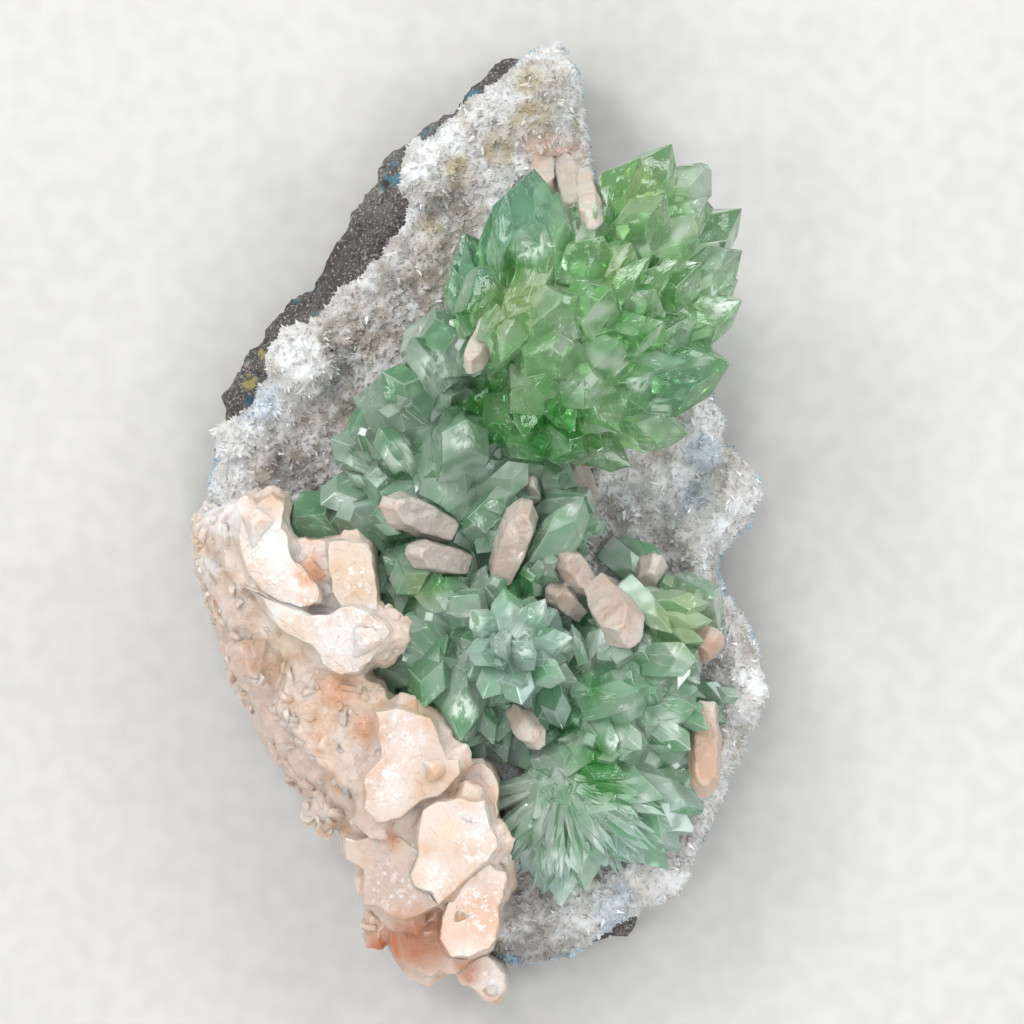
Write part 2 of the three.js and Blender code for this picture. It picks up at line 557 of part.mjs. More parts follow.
// The dull green blocks below the spray.
const BLOCKS = [
  grown([-3, 21, 17], [-5, 25.5, 35], 11, 9, 12, 3.5),
  grown([-10.5, 13, 17], [-11.5, 17, 34], 9, 8, 20, 3),
  grown([-4.5, 15, 17], [-4, 16.5, 31], 7, 6, 35, 1.2),
  grown([-14, 8.5, 17], [-19, 9, 27], 6.5, 5.5, 10, 1),
  grown([-12.5, 9, 17], [-16, 12, 30], 6, 5.5, 30, 1),
  grown([-11, 11, 20], [-13.5, 8, 30], 3.5, 3, 10),
  grown([-0.5, 10, 18], [-2, 12.5, 35], 8.5, 7, 25, 2),
  grown([1.5, 9, 18], [2, 11.5, 33], 6, 5, 0, 1),
  grown([-19, -0.5, 17], [-26.5, -0.5, 26], 7, 6.5, 10, 1.8),
  grown([-15, -1, 17], [-18.5, 0.5, 28], 7.5, 7, 25, 2),
  grown([-13, 3.5, 17], [-14, 5.5, 28], 8, 7, 0, 2),
  grown([-6, 5.5, 17], [-5.5, 7, 30], 5.5, 5, 40, 0.8),
  grown([-2, 4.5, 17], [-1.5, 6.5, 31], 5.5, 5, 10, 0.6),
  grown([2.5, 5, 17], [2.5, 7.5, 32], 5.5, 5, 20, 0.8),
  grown([7, 6, 17], [7, 7.5, 32], 5.5, 5, 0, 0.6),
  grown([10.5, 5.5, 17], [11.5, 5.5, 31], 6, 5, 35, 0.5),
  grown([4.5, 0.5, 17], [3, 0.5, 31], 8.5, 7, 15, 2.4),
  grown([-11, -0.5, 17], [-13, 0, 28], 6.5, 6, 0, 1.6),
  grown([-9.5, 8, 17], [-10.5, 7.5, 31], 6, 5.5, 30, 0.6),
  grown([-4.5, 1.5, 17], [-4, 2, 29], 6, 5, 15, 1.2),
  grown([0, -0.5, 17], [0.5, -1, 29], 6.5, 5.5, 30, 1),
];
// The pale rosette and the crystals around it.
const ROSETTE = [
  grown([5, -20.5, 18], [8.5, -11.5, 31], 6.5, 4.5, 10),
  grown([4.5, -20.5, 18], [3.5, -12, 30], 6, 4.5, 30),
  grown([5, -20.5, 18], [12, -13.5, 30], 6.5, 4.5, 20),
  grown([5, -20.5, 18], [15.5, -18, 28], 6, 4, 0),
  grown([5, -20.5, 18], [15, -24, 28], 6, 4, 25),
  grown([5, -21, 18], [14.5, -27.5, 26], 5, 3.5, 0),
  grown([4.5, -21.5, 18], [11, -33, 24], 5, 3.5, 10),
  grown([4, -21.5, 18], [7.5, -28, 28], 5.5, 4, 30),
  grown([3.5, -21, 18], [2, -27.5, 28], 6, 4.5, 0),
  grown([3.5, -20.5, 18], [-2, -23.5, 28], 6, 4.5, 20),
  grown([3.5, -20.5, 18], [-2, -17.5, 30], 6, 4.5, 10),
  grown([4, -20, 18], [0, -13, 30], 5.5, 4.5, 40),
  grown([4, -20.5, 19], [3, -17.5, 37], 6.5, 5, 15),
  grown([4.5, -20, 19], [7.5, -16.5, 38], 6.5, 5, 35),
  grown([5.5, -20.5, 19], [10, -20.5, 36], 6, 5, 0),
  grown([4.5, -21, 19], [6, -23.5, 36], 6, 5, 20),
  grown([-9.5, -18, 17], [-12.5, -17.5, 26], 5.5, 5, 10, 0.8),
  grown([-7, -20, 17], [-10, -20.5, 31], 7, 6, 30, 0.6),
  grown([-6, -21, 17], [-8, -29, 29], 7, 6, 45),
  grown([-2, -25.5, 18], [-1.5, -32.5, 29], 6.5, 6, 45),
  grown([-5, -23.5, 17], [-5, -20, 32], 6, 5, 0),
  grown([3, -11, 17], [3, -9.5, 31], 6.5, 5.5, 20, 1),
  grown([8, -9.5, 17], [8, -8, 29], 7, 6, 10, 2),
  grown([-11.5, -8, 17], [-12.5, -6, 26], 5, 4.5, 10, 0.6),
  grown([-9, -9.5, 17], [-8.5, -7, 29], 6.5, 6, 30, 1.2),
  grown([-10, -13, 17], [-10.5, -11.5, 27], 6, 5.5, 10, 1),
  grown([-5, -12.5, 17], [-4, -10, 31], 6.5, 5.5, 0, 0.8),
  grown([-6, -16.5, 17], [-6.5, -14.5, 31], 6.5, 6, 35, 1),
  grown([-2, -14.5, 17], [-2, -12.5, 31], 6, 5.5, 10, 0.8),
  grown([-11.5, -24, 17], [-13, -25.5, 24], 6, 5, 0, 1.2),
  grown([-3, -8, 17], [-3, -6.5, 30], 6, 5.5, 20, 0.8),
  grown([-2, -32, 17], [-1.5, -36.5, 23], 5.5, 4.5, 10, 0.6),
  grown([2, -30.5, 17], [4.5, -35.5, 23], 6.5, 5.5, 30, 0.4),
  grown([7.5, -33, 17], [8.5, -36.5, 23], 6, 5, 0, 1),
  grown([2, -29, 17], [1, -32, 25], 6.5, 5.5, 25, 1.6),
  grown([-3, -4.5, 17], [-4, -3, 28], 7, 6, 25, 1.6),
];
// Green crystals on the right, between the rosette and the rim.
const RIGHT = [
  grown([11, -2.5, 18], [16, 3, 33], 8.5, 5.5, 5),
  grown([12, -2, 18], [11, -7, 32], 8.5, 5.5, 15),
  grown([18.5, -7, 18], [24, -4.5, 28], 7, 5, 0, 0.8),
  grown([19, -7, 18], [18.5, -9.5, 28], 7, 5, 15, 0.8),
  grown([30, -14, 18], [34, -11.5, 29], 9, 6, 5, 0.8),
  grown([29, -15, 18], [32, -18.5, 29], 8.5, 6, 10, 0.8),
  grown([28, -14, 18], [24.5, -13.5, 30], 8, 6, 25, 1.6),
  grown([28, -21.5, 18], [31.5, -20, 31], 6, 5, 40),
  grown([27, -22, 18], [26, -24, 30], 5.5, 5, 10, 0.5),
  grown([28, -25.5, 17], [39, -26.5, 22], 4.5, 4, 10),
  grown([31.5, -27, 17], [36.5, -30, 22], 4.5, 4, 30),
  grown([21.5, -21.5, 17], [19.5, -18, 31], 6.5, 5.5, 10, 0.8),
  grown([24.5, -21, 17], [24, -19, 31], 6, 5, 30, 0.8),
  grown([18.5, -25.5, 17], [16.5, -25, 32], 6, 5.5, 0, 0.5),
  grown([20.5, -27, 17], [21, -25.5, 34], 8, 7, 20, 1.4),
  grown([24.5, -25.5, 17], [25.5, -25, 31], 6.5, 6, 35, 0.8),
  grown([21.5, -30.5, 17], [21, -35, 31], 8, 6.5, 40),
  grown([19, -32.5, 17], [16.5, -32, 31], 7, 6.5, 25, 1.4),
  grown([28, -31, 17], [28, -33, 30], 7, 6, 10, 0.6),
  grown([31, -29.5, 17], [31, -28, 29], 6, 5, 30, 0.6),
  grown([25.5, -29.5, 17], [24.5, -29.5, 30], 5.5, 5, 0, 0.6),
  grown([29, -33.5, 17], [29, -36, 25], 4.5, 4, 0, 0.8),
  grown([24.5, -34.5, 17], [25.5, -35, 27], 6.5, 6, 20, 1.4),
  grown([15.5, -29, 17], [14.5, -29.5, 29], 6, 5.5, 40, 0.8),
];
// The low fan at the bottom, whose crystals lie along the druse.
const FAN = [
  grown([12, -37.5, 22], [3.5, -50, 20], 5.5, 4.5, 10, 0.6),
  grown([12, -37.5, 22], [7, -51.5, 21], 5, 4.5, 35, 0.4),
  grown([12.5, -37.5, 23], [10, -54.5, 21], 5.5, 5, 5, 0.4),
  grown([13, -37.5, 23], [12.5, -56.5, 21], 6, 5, 45, 0.3),
  grown([13, -37.5, 24], [16, -54, 23], 5.5, 5, 15, 0.5),
  grown([13.5, -37.5, 24], [19, -50.5, 25], 5.5, 5, 40, 0.5),
  grown([13.5, -37.5, 24], [23, -50, 26], 5.5, 5, 20, 0.5),
  grown([14, -37.5, 24], [28, -51, 24], 6, 5, 42, 0.3),
  grown([14, -37, 24], [29.5, -48, 24], 5.5, 5, 10, 0.6),
  grown([14, -37, 24], [31.5, -45.5, 24], 6, 5, 25, 0.6),
  grown([14, -36.5, 24], [33, -42.5, 24], 6, 5, 0, 0.6),
  grown([14, -36.5, 23], [34.5, -40.5, 22], 5.5, 5, 35, 0.4),
  grown([14, -36, 23], [31.5, -39, 23], 5, 4.5, 20, 0.5),
  grown([13, -37, 26], [17, -44.5, 29], 5.5, 5, 30, 0.4),
  grown([13.5, -37, 26], [23.5, -44, 30], 6, 5, 5, 0.5),
  grown([13.5, -36.5, 26], [27, -40.5, 29], 5.5, 5, 40, 0.5),
  grown([12.5, -36.5, 24], [21.5, -37.5, 31], 6, 5.5, 10, 0.8),
  grown([12.5, -36, 22], [17.5, -34.5, 31], 7, 6, 25, 1),
  grown([12, -36, 22], [13, -34, 30], 6.5, 6, 0, 1),
  grown([11.5, -36.5, 23], [8.5, -43.5, 27], 5.5, 5, 20, 0.5),
];
// The massive green base under the druse, with a lump for each group above.
const DRUSE_MASSES = [
  { centre: [-4, 8, 18], half: [16, 14, 13] },
  { centre: [-19, -0.5, 18], half: [8, 4, 6] },
  { centre: [5, -20.5, 18], half: [10, 10, 17] },
  { centre: [-5, -16, 18], half: [12, 18, 11] },
  { centre: [22, -25, 18], half: [12, 16, 13] },
  { centre: [15, -38, 18], half: [8, 8, 13] },
];

// ---- growing and fitting the pieces ------------------------------------------------------------
const basalt = cushion(basaltForm);
const basaltRoom = cushion(basaltForm, SEAT_GAP);
const balls = (grow) => CRUST_BALLS.map((ball) => lump(ball, grow));
const crust = joined([cushion(crustForm), ...balls(0)]).subtract(basaltRoom);
const crustRoom = joined([basaltRoom, cushion(crustForm, SEAT_GAP), ...balls(SEAT_GAP)]);

const plates = (grow) => FLANK_PLATES.map((crystal) => stilbite(crystal, grow));
const flank = joined([cushion(flankForm), ...plates(0)]).subtract(crustRoom);
let taken = joined([crustRoom, cushion(flankForm, SEAT_GAP), ...plates(SEAT_GAP)]);

const sprigs = STILBITE_SPRIGS.map((sprig) => {
  const solid = joined(sprig.map((crystal) => stilbite(crystal))).subtract(taken);
  taken = taken.add(joined(sprig.map((crystal) => stilbite(crystal, SEAT_GAP))));
  return solid;
});

// A group of crystals grown together, cut back to where its neighbours leave room.
function cluster(crystals, masses) {
  const grownBy = (grow) => joined([
    ...masses.map((mass) => lump(mass, grow)),
    ...crystals.map((crystal) => apophyllite(crystal, grow)),
  ]);
  const solid = grownBy(0).subtract(taken);
  taken = taken.add(grownBy(SEAT_GAP));
  return solid;
}

// ---- materials and the finished group ----------------------------------------------------------
const rock = new THREE.MeshStandardMaterial({ color: 0x5f595a, roughness: 0.9, metalness: 0 });
const druse = new THREE.MeshStandardMaterial({ color: 0xdcdad6, roughness: 0.6, metalness: 0 });
const peach = new THREE.MeshStandardMaterial({ color: 0xeac8b2, roughness: 0.4, metalness: 0 });
const green = new THREE.MeshStandardMaterial({ color: 0x6fbf80, roughness: 0.15, metalness: 0 });

const specimen = new THREE.Group();

function add(name, solid, material) {
  const smoothed = mainBody(mainBody(solid).simplify(FINEST_STEP));
  const { numProp, vertProperties, triVerts } = smoothed.getMesh();
  const geometry = new THREE.BufferGeometry();
  const position = new THREE.InterleavedBuffer(vertProperties, numProp);
  geometry.setAttribute('position', new THREE.InterleavedBufferAttribute(position, 3, 0));
  geometry.setIndex(new THREE.BufferAttribute(triVerts, 1));
  const mesh = new THREE.Mesh(geometry, material.clone());
  mesh.name = name;
  specimen.add(mesh);
}

add('basalt_matrix', basalt, rock);
add('chalcedony_crust', crust, druse);
add('stilbite_flank', flank, peach);
sprigs.forEach((solid, k) => add(`stilbite_crystal_${k + 1}`, solid, peach));
add('apophyllite_spray', cluster(SPRAY, SPRAY_MASSES), green);
add('apophyllite_druse', cluster([...BLOCKS, ...ROSETTE, ...RIGHT, ...FAN], DRUSE_MASSES), green);

// The origin lies under the middle of the specimen, on its flat underside.
specimen.position.set(-MIDDLE.x, -MIDDLE.y, 0);

export default specimen;
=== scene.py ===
# A palm-sized mineral specimen lying on its back: green apophyllite and peach stilbite that grew on
# drusy chalcedony, over a wedge of basalt. Metres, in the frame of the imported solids: +Z is up, out
# of the crystals, and +Y is the long axis.
import json
import math

import bpy
import numpy as np
from mathutils import Matrix, Vector, noise as pattern_noise
from mathutils.bvhtree import BVHTree

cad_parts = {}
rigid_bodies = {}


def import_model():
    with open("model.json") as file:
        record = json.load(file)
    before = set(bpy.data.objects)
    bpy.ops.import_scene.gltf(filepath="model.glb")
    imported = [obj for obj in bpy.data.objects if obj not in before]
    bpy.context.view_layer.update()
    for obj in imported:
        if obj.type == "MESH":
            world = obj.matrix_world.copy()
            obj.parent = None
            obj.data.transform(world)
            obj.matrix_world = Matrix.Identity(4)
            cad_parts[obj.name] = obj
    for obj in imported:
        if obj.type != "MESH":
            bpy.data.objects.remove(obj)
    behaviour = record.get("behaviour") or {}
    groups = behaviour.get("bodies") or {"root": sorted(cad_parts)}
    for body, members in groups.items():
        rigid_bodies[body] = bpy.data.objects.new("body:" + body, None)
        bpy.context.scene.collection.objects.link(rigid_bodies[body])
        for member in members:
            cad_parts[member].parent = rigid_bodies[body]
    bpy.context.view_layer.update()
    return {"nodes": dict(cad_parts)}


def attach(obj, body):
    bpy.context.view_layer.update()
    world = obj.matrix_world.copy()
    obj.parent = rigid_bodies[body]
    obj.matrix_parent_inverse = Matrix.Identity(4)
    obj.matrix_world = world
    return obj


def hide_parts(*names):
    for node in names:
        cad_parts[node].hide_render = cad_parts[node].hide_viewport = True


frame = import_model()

MM = 0.001

# ---- the camera --------------------------------------------------------------------------------
# The specimen lies on its back, so the camera looks straight down on it, with +Y at the top of the
# view. It stands as far off as a person does, with the width of view set in the crystals' plane.
VIEW_HEIGHT = 900 * MM
VIEW_CENTRE = (5.0 * MM, 1.45 * MM)
SHARP_HEIGHT = 25 * MM  # height above the floor at which the view is VIEW_WIDTH across
VIEW_WIDTH = 147.456 * MM
SENSOR = 36.0

bpy.ops.object.camera_add(location=(*VIEW_CENTRE, VIEW_HEIGHT), rotation=(0, 0, 0))
camera = bpy.context.object
camera.data.sensor_width = SENSOR
camera.data.lens = SENSOR * (VIEW_HEIGHT - SHARP_HEIGHT) / VIEW_WIDTH
camera.data.clip_start = 10 * MM
bpy.context.scene.camera = camera


# ---- the rock ----------------------------------------------------------------------------------
# Basalt from a lava flow: dense, dark and fine grained, full of small gas bubbles that are lined
# with teal and ochre minerals. It was split off with a hammer, so it has a hackly broken surface
# and a flat break underneath.
ROCK_VOXEL = 0.75 * MM
ROCK_FLAT = 0.4 * MM  # the break underneath keeps its plane up to this height
ROCK_FADE = 2 * MM  # the relief comes in over this height above it
ROCK_RELIEF = [  # pattern, its size, and how far it moves the surface
    ("CLOUDS", 7.0 * MM, 2.4 * MM),
    ("VORONOI", 3.2 * MM, 1.8 * MM),
    ("CLOUDS", 1.5 * MM, 1.1 * MM),
]
UNDERSIDE_SHARE = 0.12  # of the relief, on the break underneath
BUBBLE_COUNT = 240
BUBBLE_HOLLOW = 0.8  # depth of a bubble, of its radius
LINED_DEPTH = 0.8 * MM  # where a bubble is fully lined
BUBBLE_SIZES = (0.7 * MM, 2.2 * MM)


def only(piece):
    """Selects one object and makes it the active one."""
    bpy.ops.object.select_all(action="DESELECT")
    piece.select_set(True)
    bpy.context.view_layer.objects.active = piece


def cast_of(node, name):
    """A piece of its own with the welded shape of a CAD solid."""
    piece = bpy.data.objects.new(name, frame["nodes"][node].data.copy())
    bpy.context.scene.collection.objects.link(piece)
    piece.data.name = name
    piece.data.materials.clear()
    only(piece)
    bpy.ops.object.mode_set(mode="EDIT")
    bpy.ops.mesh.select_all(action="SELECT")
    bpy.ops.mesh.remove_doubles(threshold=0.001 * MM)
    bpy.ops.object.mode_set(mode="OBJECT")
    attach(piece, "root")
    return piece


def finish_with(piece, kind, **settings):
    """Puts a modifier on a piece and applies it."""
    only(piece)
    modifier = piece.modifiers.new(kind.title(), kind)
    for key, value in settings.items():
        setattr(modifier, key, value)
    bpy.ops.object.modifier_apply(modifier=modifier.name)


def roughen(piece, kind, scale, strength, group=""):
    """Moves a surface in and out by a cloudy or a cellular pattern of the given size."""
    pattern = bpy.data.textures.new(f"{piece.name}_{kind.lower()}", kind)
    pattern.noise_scale = scale
    if kind == "CLOUDS":
        pattern.noise_depth = 3
    finish_with(
        piece, "DISPLACE", texture=pattern, strength=strength, mid_level=0.5, vertex_group=group)


def mesh_points(piece):
    points = np.empty(len(piece.data.vertices) * 3, np.float32)
    piece.data.vertices.foreach_get("co", points)
    return points.reshape(-1, 3)


def set_points(piece, points):
    piece.data.vertices.foreach_set("co", points.astype(np.float32).ravel())
    piece.data.update()


def store(piece, name, kind, domain, values):
    """Stores a number or a vector for each point, face or face corner of a piece."""
    attribute = piece.data.attributes.new(name, kind, domain)
    attribute.data.foreach_set(
        "vector" if kind == "FLOAT_VECTOR" else "value", np.asarray(values, np.float32).ravel())


rock = cast_of("basalt_matrix", "basalt_rock")
finish_with(rock, "REMESH", mode="VOXEL", voxel_size=ROCK_VOXEL)
above = rock.vertex_groups.new(name="above_break")
for index, point in enumerate(mesh_points(rock)):
    above.add([index], min(max((point[2] - ROCK_FLAT) / ROCK_FADE, UNDERSIDE_SHARE), 1), "REPLACE")
for kind, scale, strength in ROCK_RELIEF:
    roughen(rock, kind, scale, strength, "above_break")

rng = np.random.default_rng(11)
points = mesh_points(rock)
normals = np.array([vertex.normal for vertex in rock.data.vertices], np.float32)
bubble_depth = np.zeros(len(points), np.float32)
for centre in rng.choice(len(points), BUBBLE_COUNT, replace=False):
    radius = rng.uniform(*BUBBLE_SIZES) * rng.uniform(0.5, 1)
    distance = np.linalg.norm(points - points[centre], axis=1) / radius
    hollow = np.sqrt(np.clip(1 - distance ** 2, 0, 1))
    bubble_depth = np.maximum(bubble_depth, hollow * radius * BUBBLE_HOLLOW)
points -= normals * bubble_depth[:, None]
points[:, 2] = np.maximum(points[:, 2], 0)
set_points(rock, points)
store(rock, "bubble", "FLOAT", "POINT", np.clip(bubble_depth / LINED_DEPTH, 0, 1))


def hex_colour(text, alpha=1.0):
    """Linear colour of an sRGB hex value."""
    values = [int(text[k:k + 2], 16) / 255 for k in (1, 3, 5)]
    linear = [v / 12.92 if v <= 0.04045 else ((v + 0.055) / 1.055) ** 2.4 for v in values]
    return (*linear, alpha)


def add_node(tree, kind, settings, output=0, **links):
    """Adds a node to a tree and returns one of its outputs.

    settings holds its attributes, the values of its inputs and a colour ramp's stops. links are its
    other inputs, by name or as i and a number, each with a socket, a number or an sRGB hex value.
    """
    node = tree.nodes.new("ShaderNode" + kind)
    for key, value in settings.items():
        if key == "stops":
            elements = node.color_ramp.elements
            while len(elements) < len(value):
                elements.new(0.5)
            for element, (position, text) in zip(elements, value):
                element.position = position
                element.color = hex_colour(text)
        elif isinstance(key, int) or key in node.inputs:
            node.inputs[key].default_value = value
        else:
            setattr(node, key, value)
    for key, source in links.items():
        target = node.inputs[int(key[1:]) if key[1:].isdigit() else key]
        if isinstance(source, str):
            target.default_value = hex_colour(source)
        elif isinstance(source, (int, float)):
            target.default_value = source
        else:
            tree.links.new(source, target)
    return node.outputs[output]


def new_material(name):
    material = bpy.data.materials.new(name)
    material.use_nodes = True
    tree = material.node_tree
    return material, tree, tree.nodes["Principled BSDF"]


def ragged_plan(tree, place, size=4 * MM, swing=4 * MM):
    """The place seen from above, pushed about so that the patches laid on it have ragged edges."""
    push = add_node(
        tree, "TexNoise", {"Scale": 1 / size, "Detail": 1.0, "Roughness": 0.6}, "Color", Vector=place)
    push = add_node(tree, "VectorMath", {"operation": "SUBTRACT", 1: (0.5, 0.5, 0.5)}, i0=push)
    pushed = add_node(
        tree, "VectorMath", {"operation": "MULTIPLY_ADD", 1: (swing,) * 3}, i0=push, i2=place)
    return add_node(tree, "VectorMath", {"operation": "MULTIPLY", 1: (1, 1, 0)}, i0=pushed)


def within(tree, plan, patches, edge=0.5):
    """1 inside any of some patches on the plan, falling to 0 at their rims.

    A patch is ((x, y), radius), in millimetres.
    """
    mask = None
    for (x, y), radius in patches:
        centre = (x * MM, y * MM, 0)
        offset = add_node(tree, "VectorMath", {"operation": "DISTANCE", 1: centre}, "Value", i0=plan)
        disc = add_node(
            tree, "MapRange", {"From Min": radius * MM, "From Max": radius * (1 - edge) * MM},
            Value=offset)
        if mask is None:
            mask = disc
        else:
            mask = add_node(tree, "Math", {"operation": "MAXIMUM"}, i0=mask, i1=disc)
    return mask


# Basalt, broken: dull charcoal with a salt of pale feldspar laths and darker, mineral-lined bubbles.
FELDSPAR = 0.45 * MM
OCHRE_PATCHES = [((-31.5, 24.5), 2), ((-33.5, 20.5), 1.4)]
TEAL_PATCHES = [((-6, 57), 2.4), ((-11, 51), 2.6), ((21.5, -55), 3), ((0, 62), 2.2)]

basalt, tree, shader = new_material("broken_basalt")
place = add_node(tree, "TexCoord", {}, "Object")
grain = add_node(
    tree, "TexNoise", {"Scale": 1 / FELDSPAR, "Detail": 2.0, "Roughness": 0.6}, Vector=place)
cloud = add_node(
    tree, "TexNoise", {"Scale": 1 / (9 * MM), "Detail": 4.0, "Roughness": 0.55}, Vector=place)
colour = add_node(
    tree, "ValToRGB", {"stops": [(0.3, "#454240"), (0.5, "#5D5956"), (0.72, "#7A7671")]}, Fac=cloud)
colour = add_node(
    tree, "Mix", {"data_type": "RGBA"}, 2,
    i0=add_node(tree, "MapRange", {"From Min": 0.56, "From Max": 0.68}, Value=grain), i6=colour,
    i7="#A9A3A0")
colour = add_node(
    tree, "Mix", {"data_type": "RGBA"}, 2,
    i0=add_node(tree, "MapRange", {"From Min": 0.44, "From Max": 0.34}, Value=grain), i6=colour,
    i7="#37322F")
hollow = add_node(tree, "Attribute", {"attribute_name": "bubble"}, "Fac")
lining = add_node(
    tree, "ValToRGB", {"stops": [(0.42, "#2C2A2A"), (0.52, "#3E7C8C"), (0.6, "#B9B39E")]},
    Fac=add_node(
        tree, "TexNoise", {"Scale": 1 / (5 * MM), "Detail": 3.0, "Roughness": 0.55}, Vector=place))
colour = add_node(
    tree, "Mix", {"data_type": "RGBA"}, 2,
    i0=add_node(tree, "MapRange", {"From Min": 0.15, "From Max": 0.6, "To Max": 0.75}, Value=hollow),
    i6=colour, i7=lining)
plan = ragged_plan(tree, place, 2 * MM)
height = add_node(tree, "SeparateXYZ", {}, "Z", i0=place)
stained = add_node(
    tree, "MapRange", {"From Min": 0.44, "From Max": 0.56},
    Value=add_node(
        tree, "TexNoise", {"Scale": 1 / (2.6 * MM), "Detail": 2.0, "Roughness": 0.55}, Vector=place))
stained = add_node(
    tree, "Math", {"operation": "MULTIPLY"}, i0=stained,
    i1=add_node(tree, "MapRange", {"From Min": 4 * MM, "From Max": 8 * MM}, Value=height))
ochre = add_node(
    tree, "Math", {"operation": "MULTIPLY"}, i0=within(tree, plan, OCHRE_PATCHES), i1=stained)
teal = add_node(
    tree, "Math", {"operation": "MULTIPLY"}, i0=within(tree, plan, TEAL_PATCHES), i1=stained)
colour = add_node(tree, "Mix", {"data_type": "RGBA"}, 2, i0=ochre, i6=colour, i7="#A0935A")
colour = add_node(tree, "Mix", {"data_type": "RGBA"}, 2, i0=teal, i6=colour, i7="#4F8290")
tree.links.new(colour, shader.inputs["Base Color"])
tree.links.new(
    add_node(
        tree, "MapRange", {"From Min": 0.5, "From Max": 0.7, "To Min": 0.92, "To Max": 0.55},
        Value=grain),
    shader.inputs["Roughness"])
relief = add_node(
    tree, "Bump", {"Strength": 0.8, "Distance": 0.25 * MM},
    Height=add_node(
        tree, "TexNoise", {"Scale": 1 / (0.9 * MM), "Detail": 4.0, "Roughness": 0.55}, Vector=place))
tree.links.new(
    add_node(tree, "Bump", {"Strength": 0.5, "Distance": 0.1 * MM}, Height=grain, Normal=relief),
    shader.inputs["Normal"])

rock.data.materials.append(basalt)
only(rock)
bpy.ops.object.shade_smooth()
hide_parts("basalt_matrix")


# ---- the crust ---------------------------------------------------------------------------------
# Chalcedony that lined the cavity in the lava before the crystals grew: milky, knobbly, and coated
# with a sugar of tiny quartz points. Bare and bluish where it is smooth, stained ochre and brown in
# patches, with a darker mottle between its grains that is partly painted shade and partly brown
# staining, and teal along the contact with the rock.
CRUST_VOXEL = 0.62 * MM
CRUST_RELIEF = [
    ("VORONOI", 4.5 * MM, -1.2 * MM),
    ("CLOUDS", 2.4 * MM, 1.9 * MM),
    ("VORONOI", 1.3 * MM, -0.7 * MM),
]

crust = cast_of("chalcedony_crust", "chalcedony_crust_skin")
finish_with(crust, "REMESH", mode="VOXEL", voxel_size=CRUST_VOXEL)
finish_with(crust, "SMOOTH", factor=0.6, iterations=10)
for kind, scale, strength in CRUST_RELIEF:
    roughen(crust, kind, scale, strength)


def flat(tree, place):
    """The place seen from above."""
    return add_node(tree, "VectorMath", {"operation": "MULTIPLY", 1: (1, 1, 0)}, i0=place)


def toned(tree, plan, colour, tones, break_up):
    """Lays patches of other tones over a colour, broken up by a fine mask."""
    for text, strength, patches in tones:
        share = add_node(
            tree, "Math", {"operation": "MULTIPLY"},
            i0=add_node(
                tree, "Math", {"operation": "MULTIPLY"}, i0=within(tree, plan, patches, 0.7),
                i1=break_up),
            i1=strength)
        colour = add_node(tree, "Mix", {"data_type": "RGBA"}, 2, i0=share, i6=colour, i7=text)
    return colour


# Where the druse is dirty brown, grey, ochre, pink or blue: centres and radii in millimetres.
CRUST_STAINS = [
    ("#9D9081", 0.95, [((-8, 35), 9), ((-15, 27), 9), ((-18, 14), 9), ((-25, 8), 8), ((-4, 45), 7),
        ((-29, 6), 6)]),
    ("#6F6355", 0.9, [((-19, 24), 4), ((-16, 17), 4), ((-29, 10), 4), ((-24, 5.5), 4),
        ((-10, 33), 4), ((-5, 40), 3)]),
    ("#8B8784", 0.85, [((19, 0), 7), ((26, 0), 5), ((24, -7), 6), ((10, -62), 8), ((8, -57), 6),
        ((30, -6), 3)]),
    ("#6F6A66", 0.7, [((19, -1), 2.5), ((24, 3), 2.2), ((27, -3), 2.2), ((7, -60), 2.5),
        ((13, -64), 2), ((22, -4), 2)]),
    ("#B59C58", 0.85, [((7.5, 64), 3), ((7.6, 58.5), 3.2), ((3, 54), 3), ((-2, 51), 3),
        ((-7, 42), 3), ((-27, 33), 3)]),
    ("#E6B9A2", 0.8, [((13, 52.5), 4.5), ((9, 54), 3), ((17, 47.5), 3)]),
    ("#C9C2C4", 0.7, [((30, 17), 6), ((34, -22), 6), ((30, -45), 6)]),
    ("#AFC4D6", 0.85, [((33, 10), 4), ((31, 4), 4), ((-32, 17), 4), ((19, -58), 4.5), ((21, -53), 3)]),
]


TONE_SEED = 5  # with 0 the pattern would differ from run to run


def tone(piece, tones, size=4 * MM, swing=1.3 * MM):
    """Stores on a piece the colours of ragged patches, laid from above.

    A tone is (sRGB hex, strength, patches), and a patch ((x, y), radius), in millimetres.
    """
    points = mesh_points(piece)
    pattern_noise.seed_set(TONE_SEED)
    push = np.array([pattern_noise.noise_vector(Vector(point) / size)[:2] for point in points])
    plan = points[:, :2] + push * swing
    colour = np.tile(hex_colour(tones[0][0])[:3], (len(points), 1))
    cover = np.zeros(len(points))
    for text, strength, patches in tones:
        share = np.zeros(len(points))
        for centre, radius in patches:
            distance = np.linalg.norm(plan - np.array(centre) * MM, axis=1) / (radius * MM)
            share = np.maximum(share, np.clip((1 - distance) / 0.6, 0, 1) * strength)
        mixed_in = np.where(cover > 0, share, share > 0)[:, None]
        colour += (np.array(hex_colour(text)[:3]) - colour) * mixed_in
        cover = np.maximum(cover, share)
    store(piece, "tone", "FLOAT_VECTOR", "POINT", colour)
    store(piece, "toned", "FLOAT", "POINT", cover)


def lay_tone(tree, colour, break_up=1.0):
    """Lays the stored tone of a piece over a colour."""
    text = add_node(tree, "Attribute", {"attribute_name": "tone"}, "Vector")
    cover = add_node(tree, "Attribute", {"attribute_name": "toned"}, "Fac")
    return add_node(
        tree, "Mix", {"data_type": "RGBA"}, 2,
        i0=add_node(tree, "Math", {"operation": "MULTIPLY"}, i0=cover, i1=break_up), i6=colour,
        i7=text)


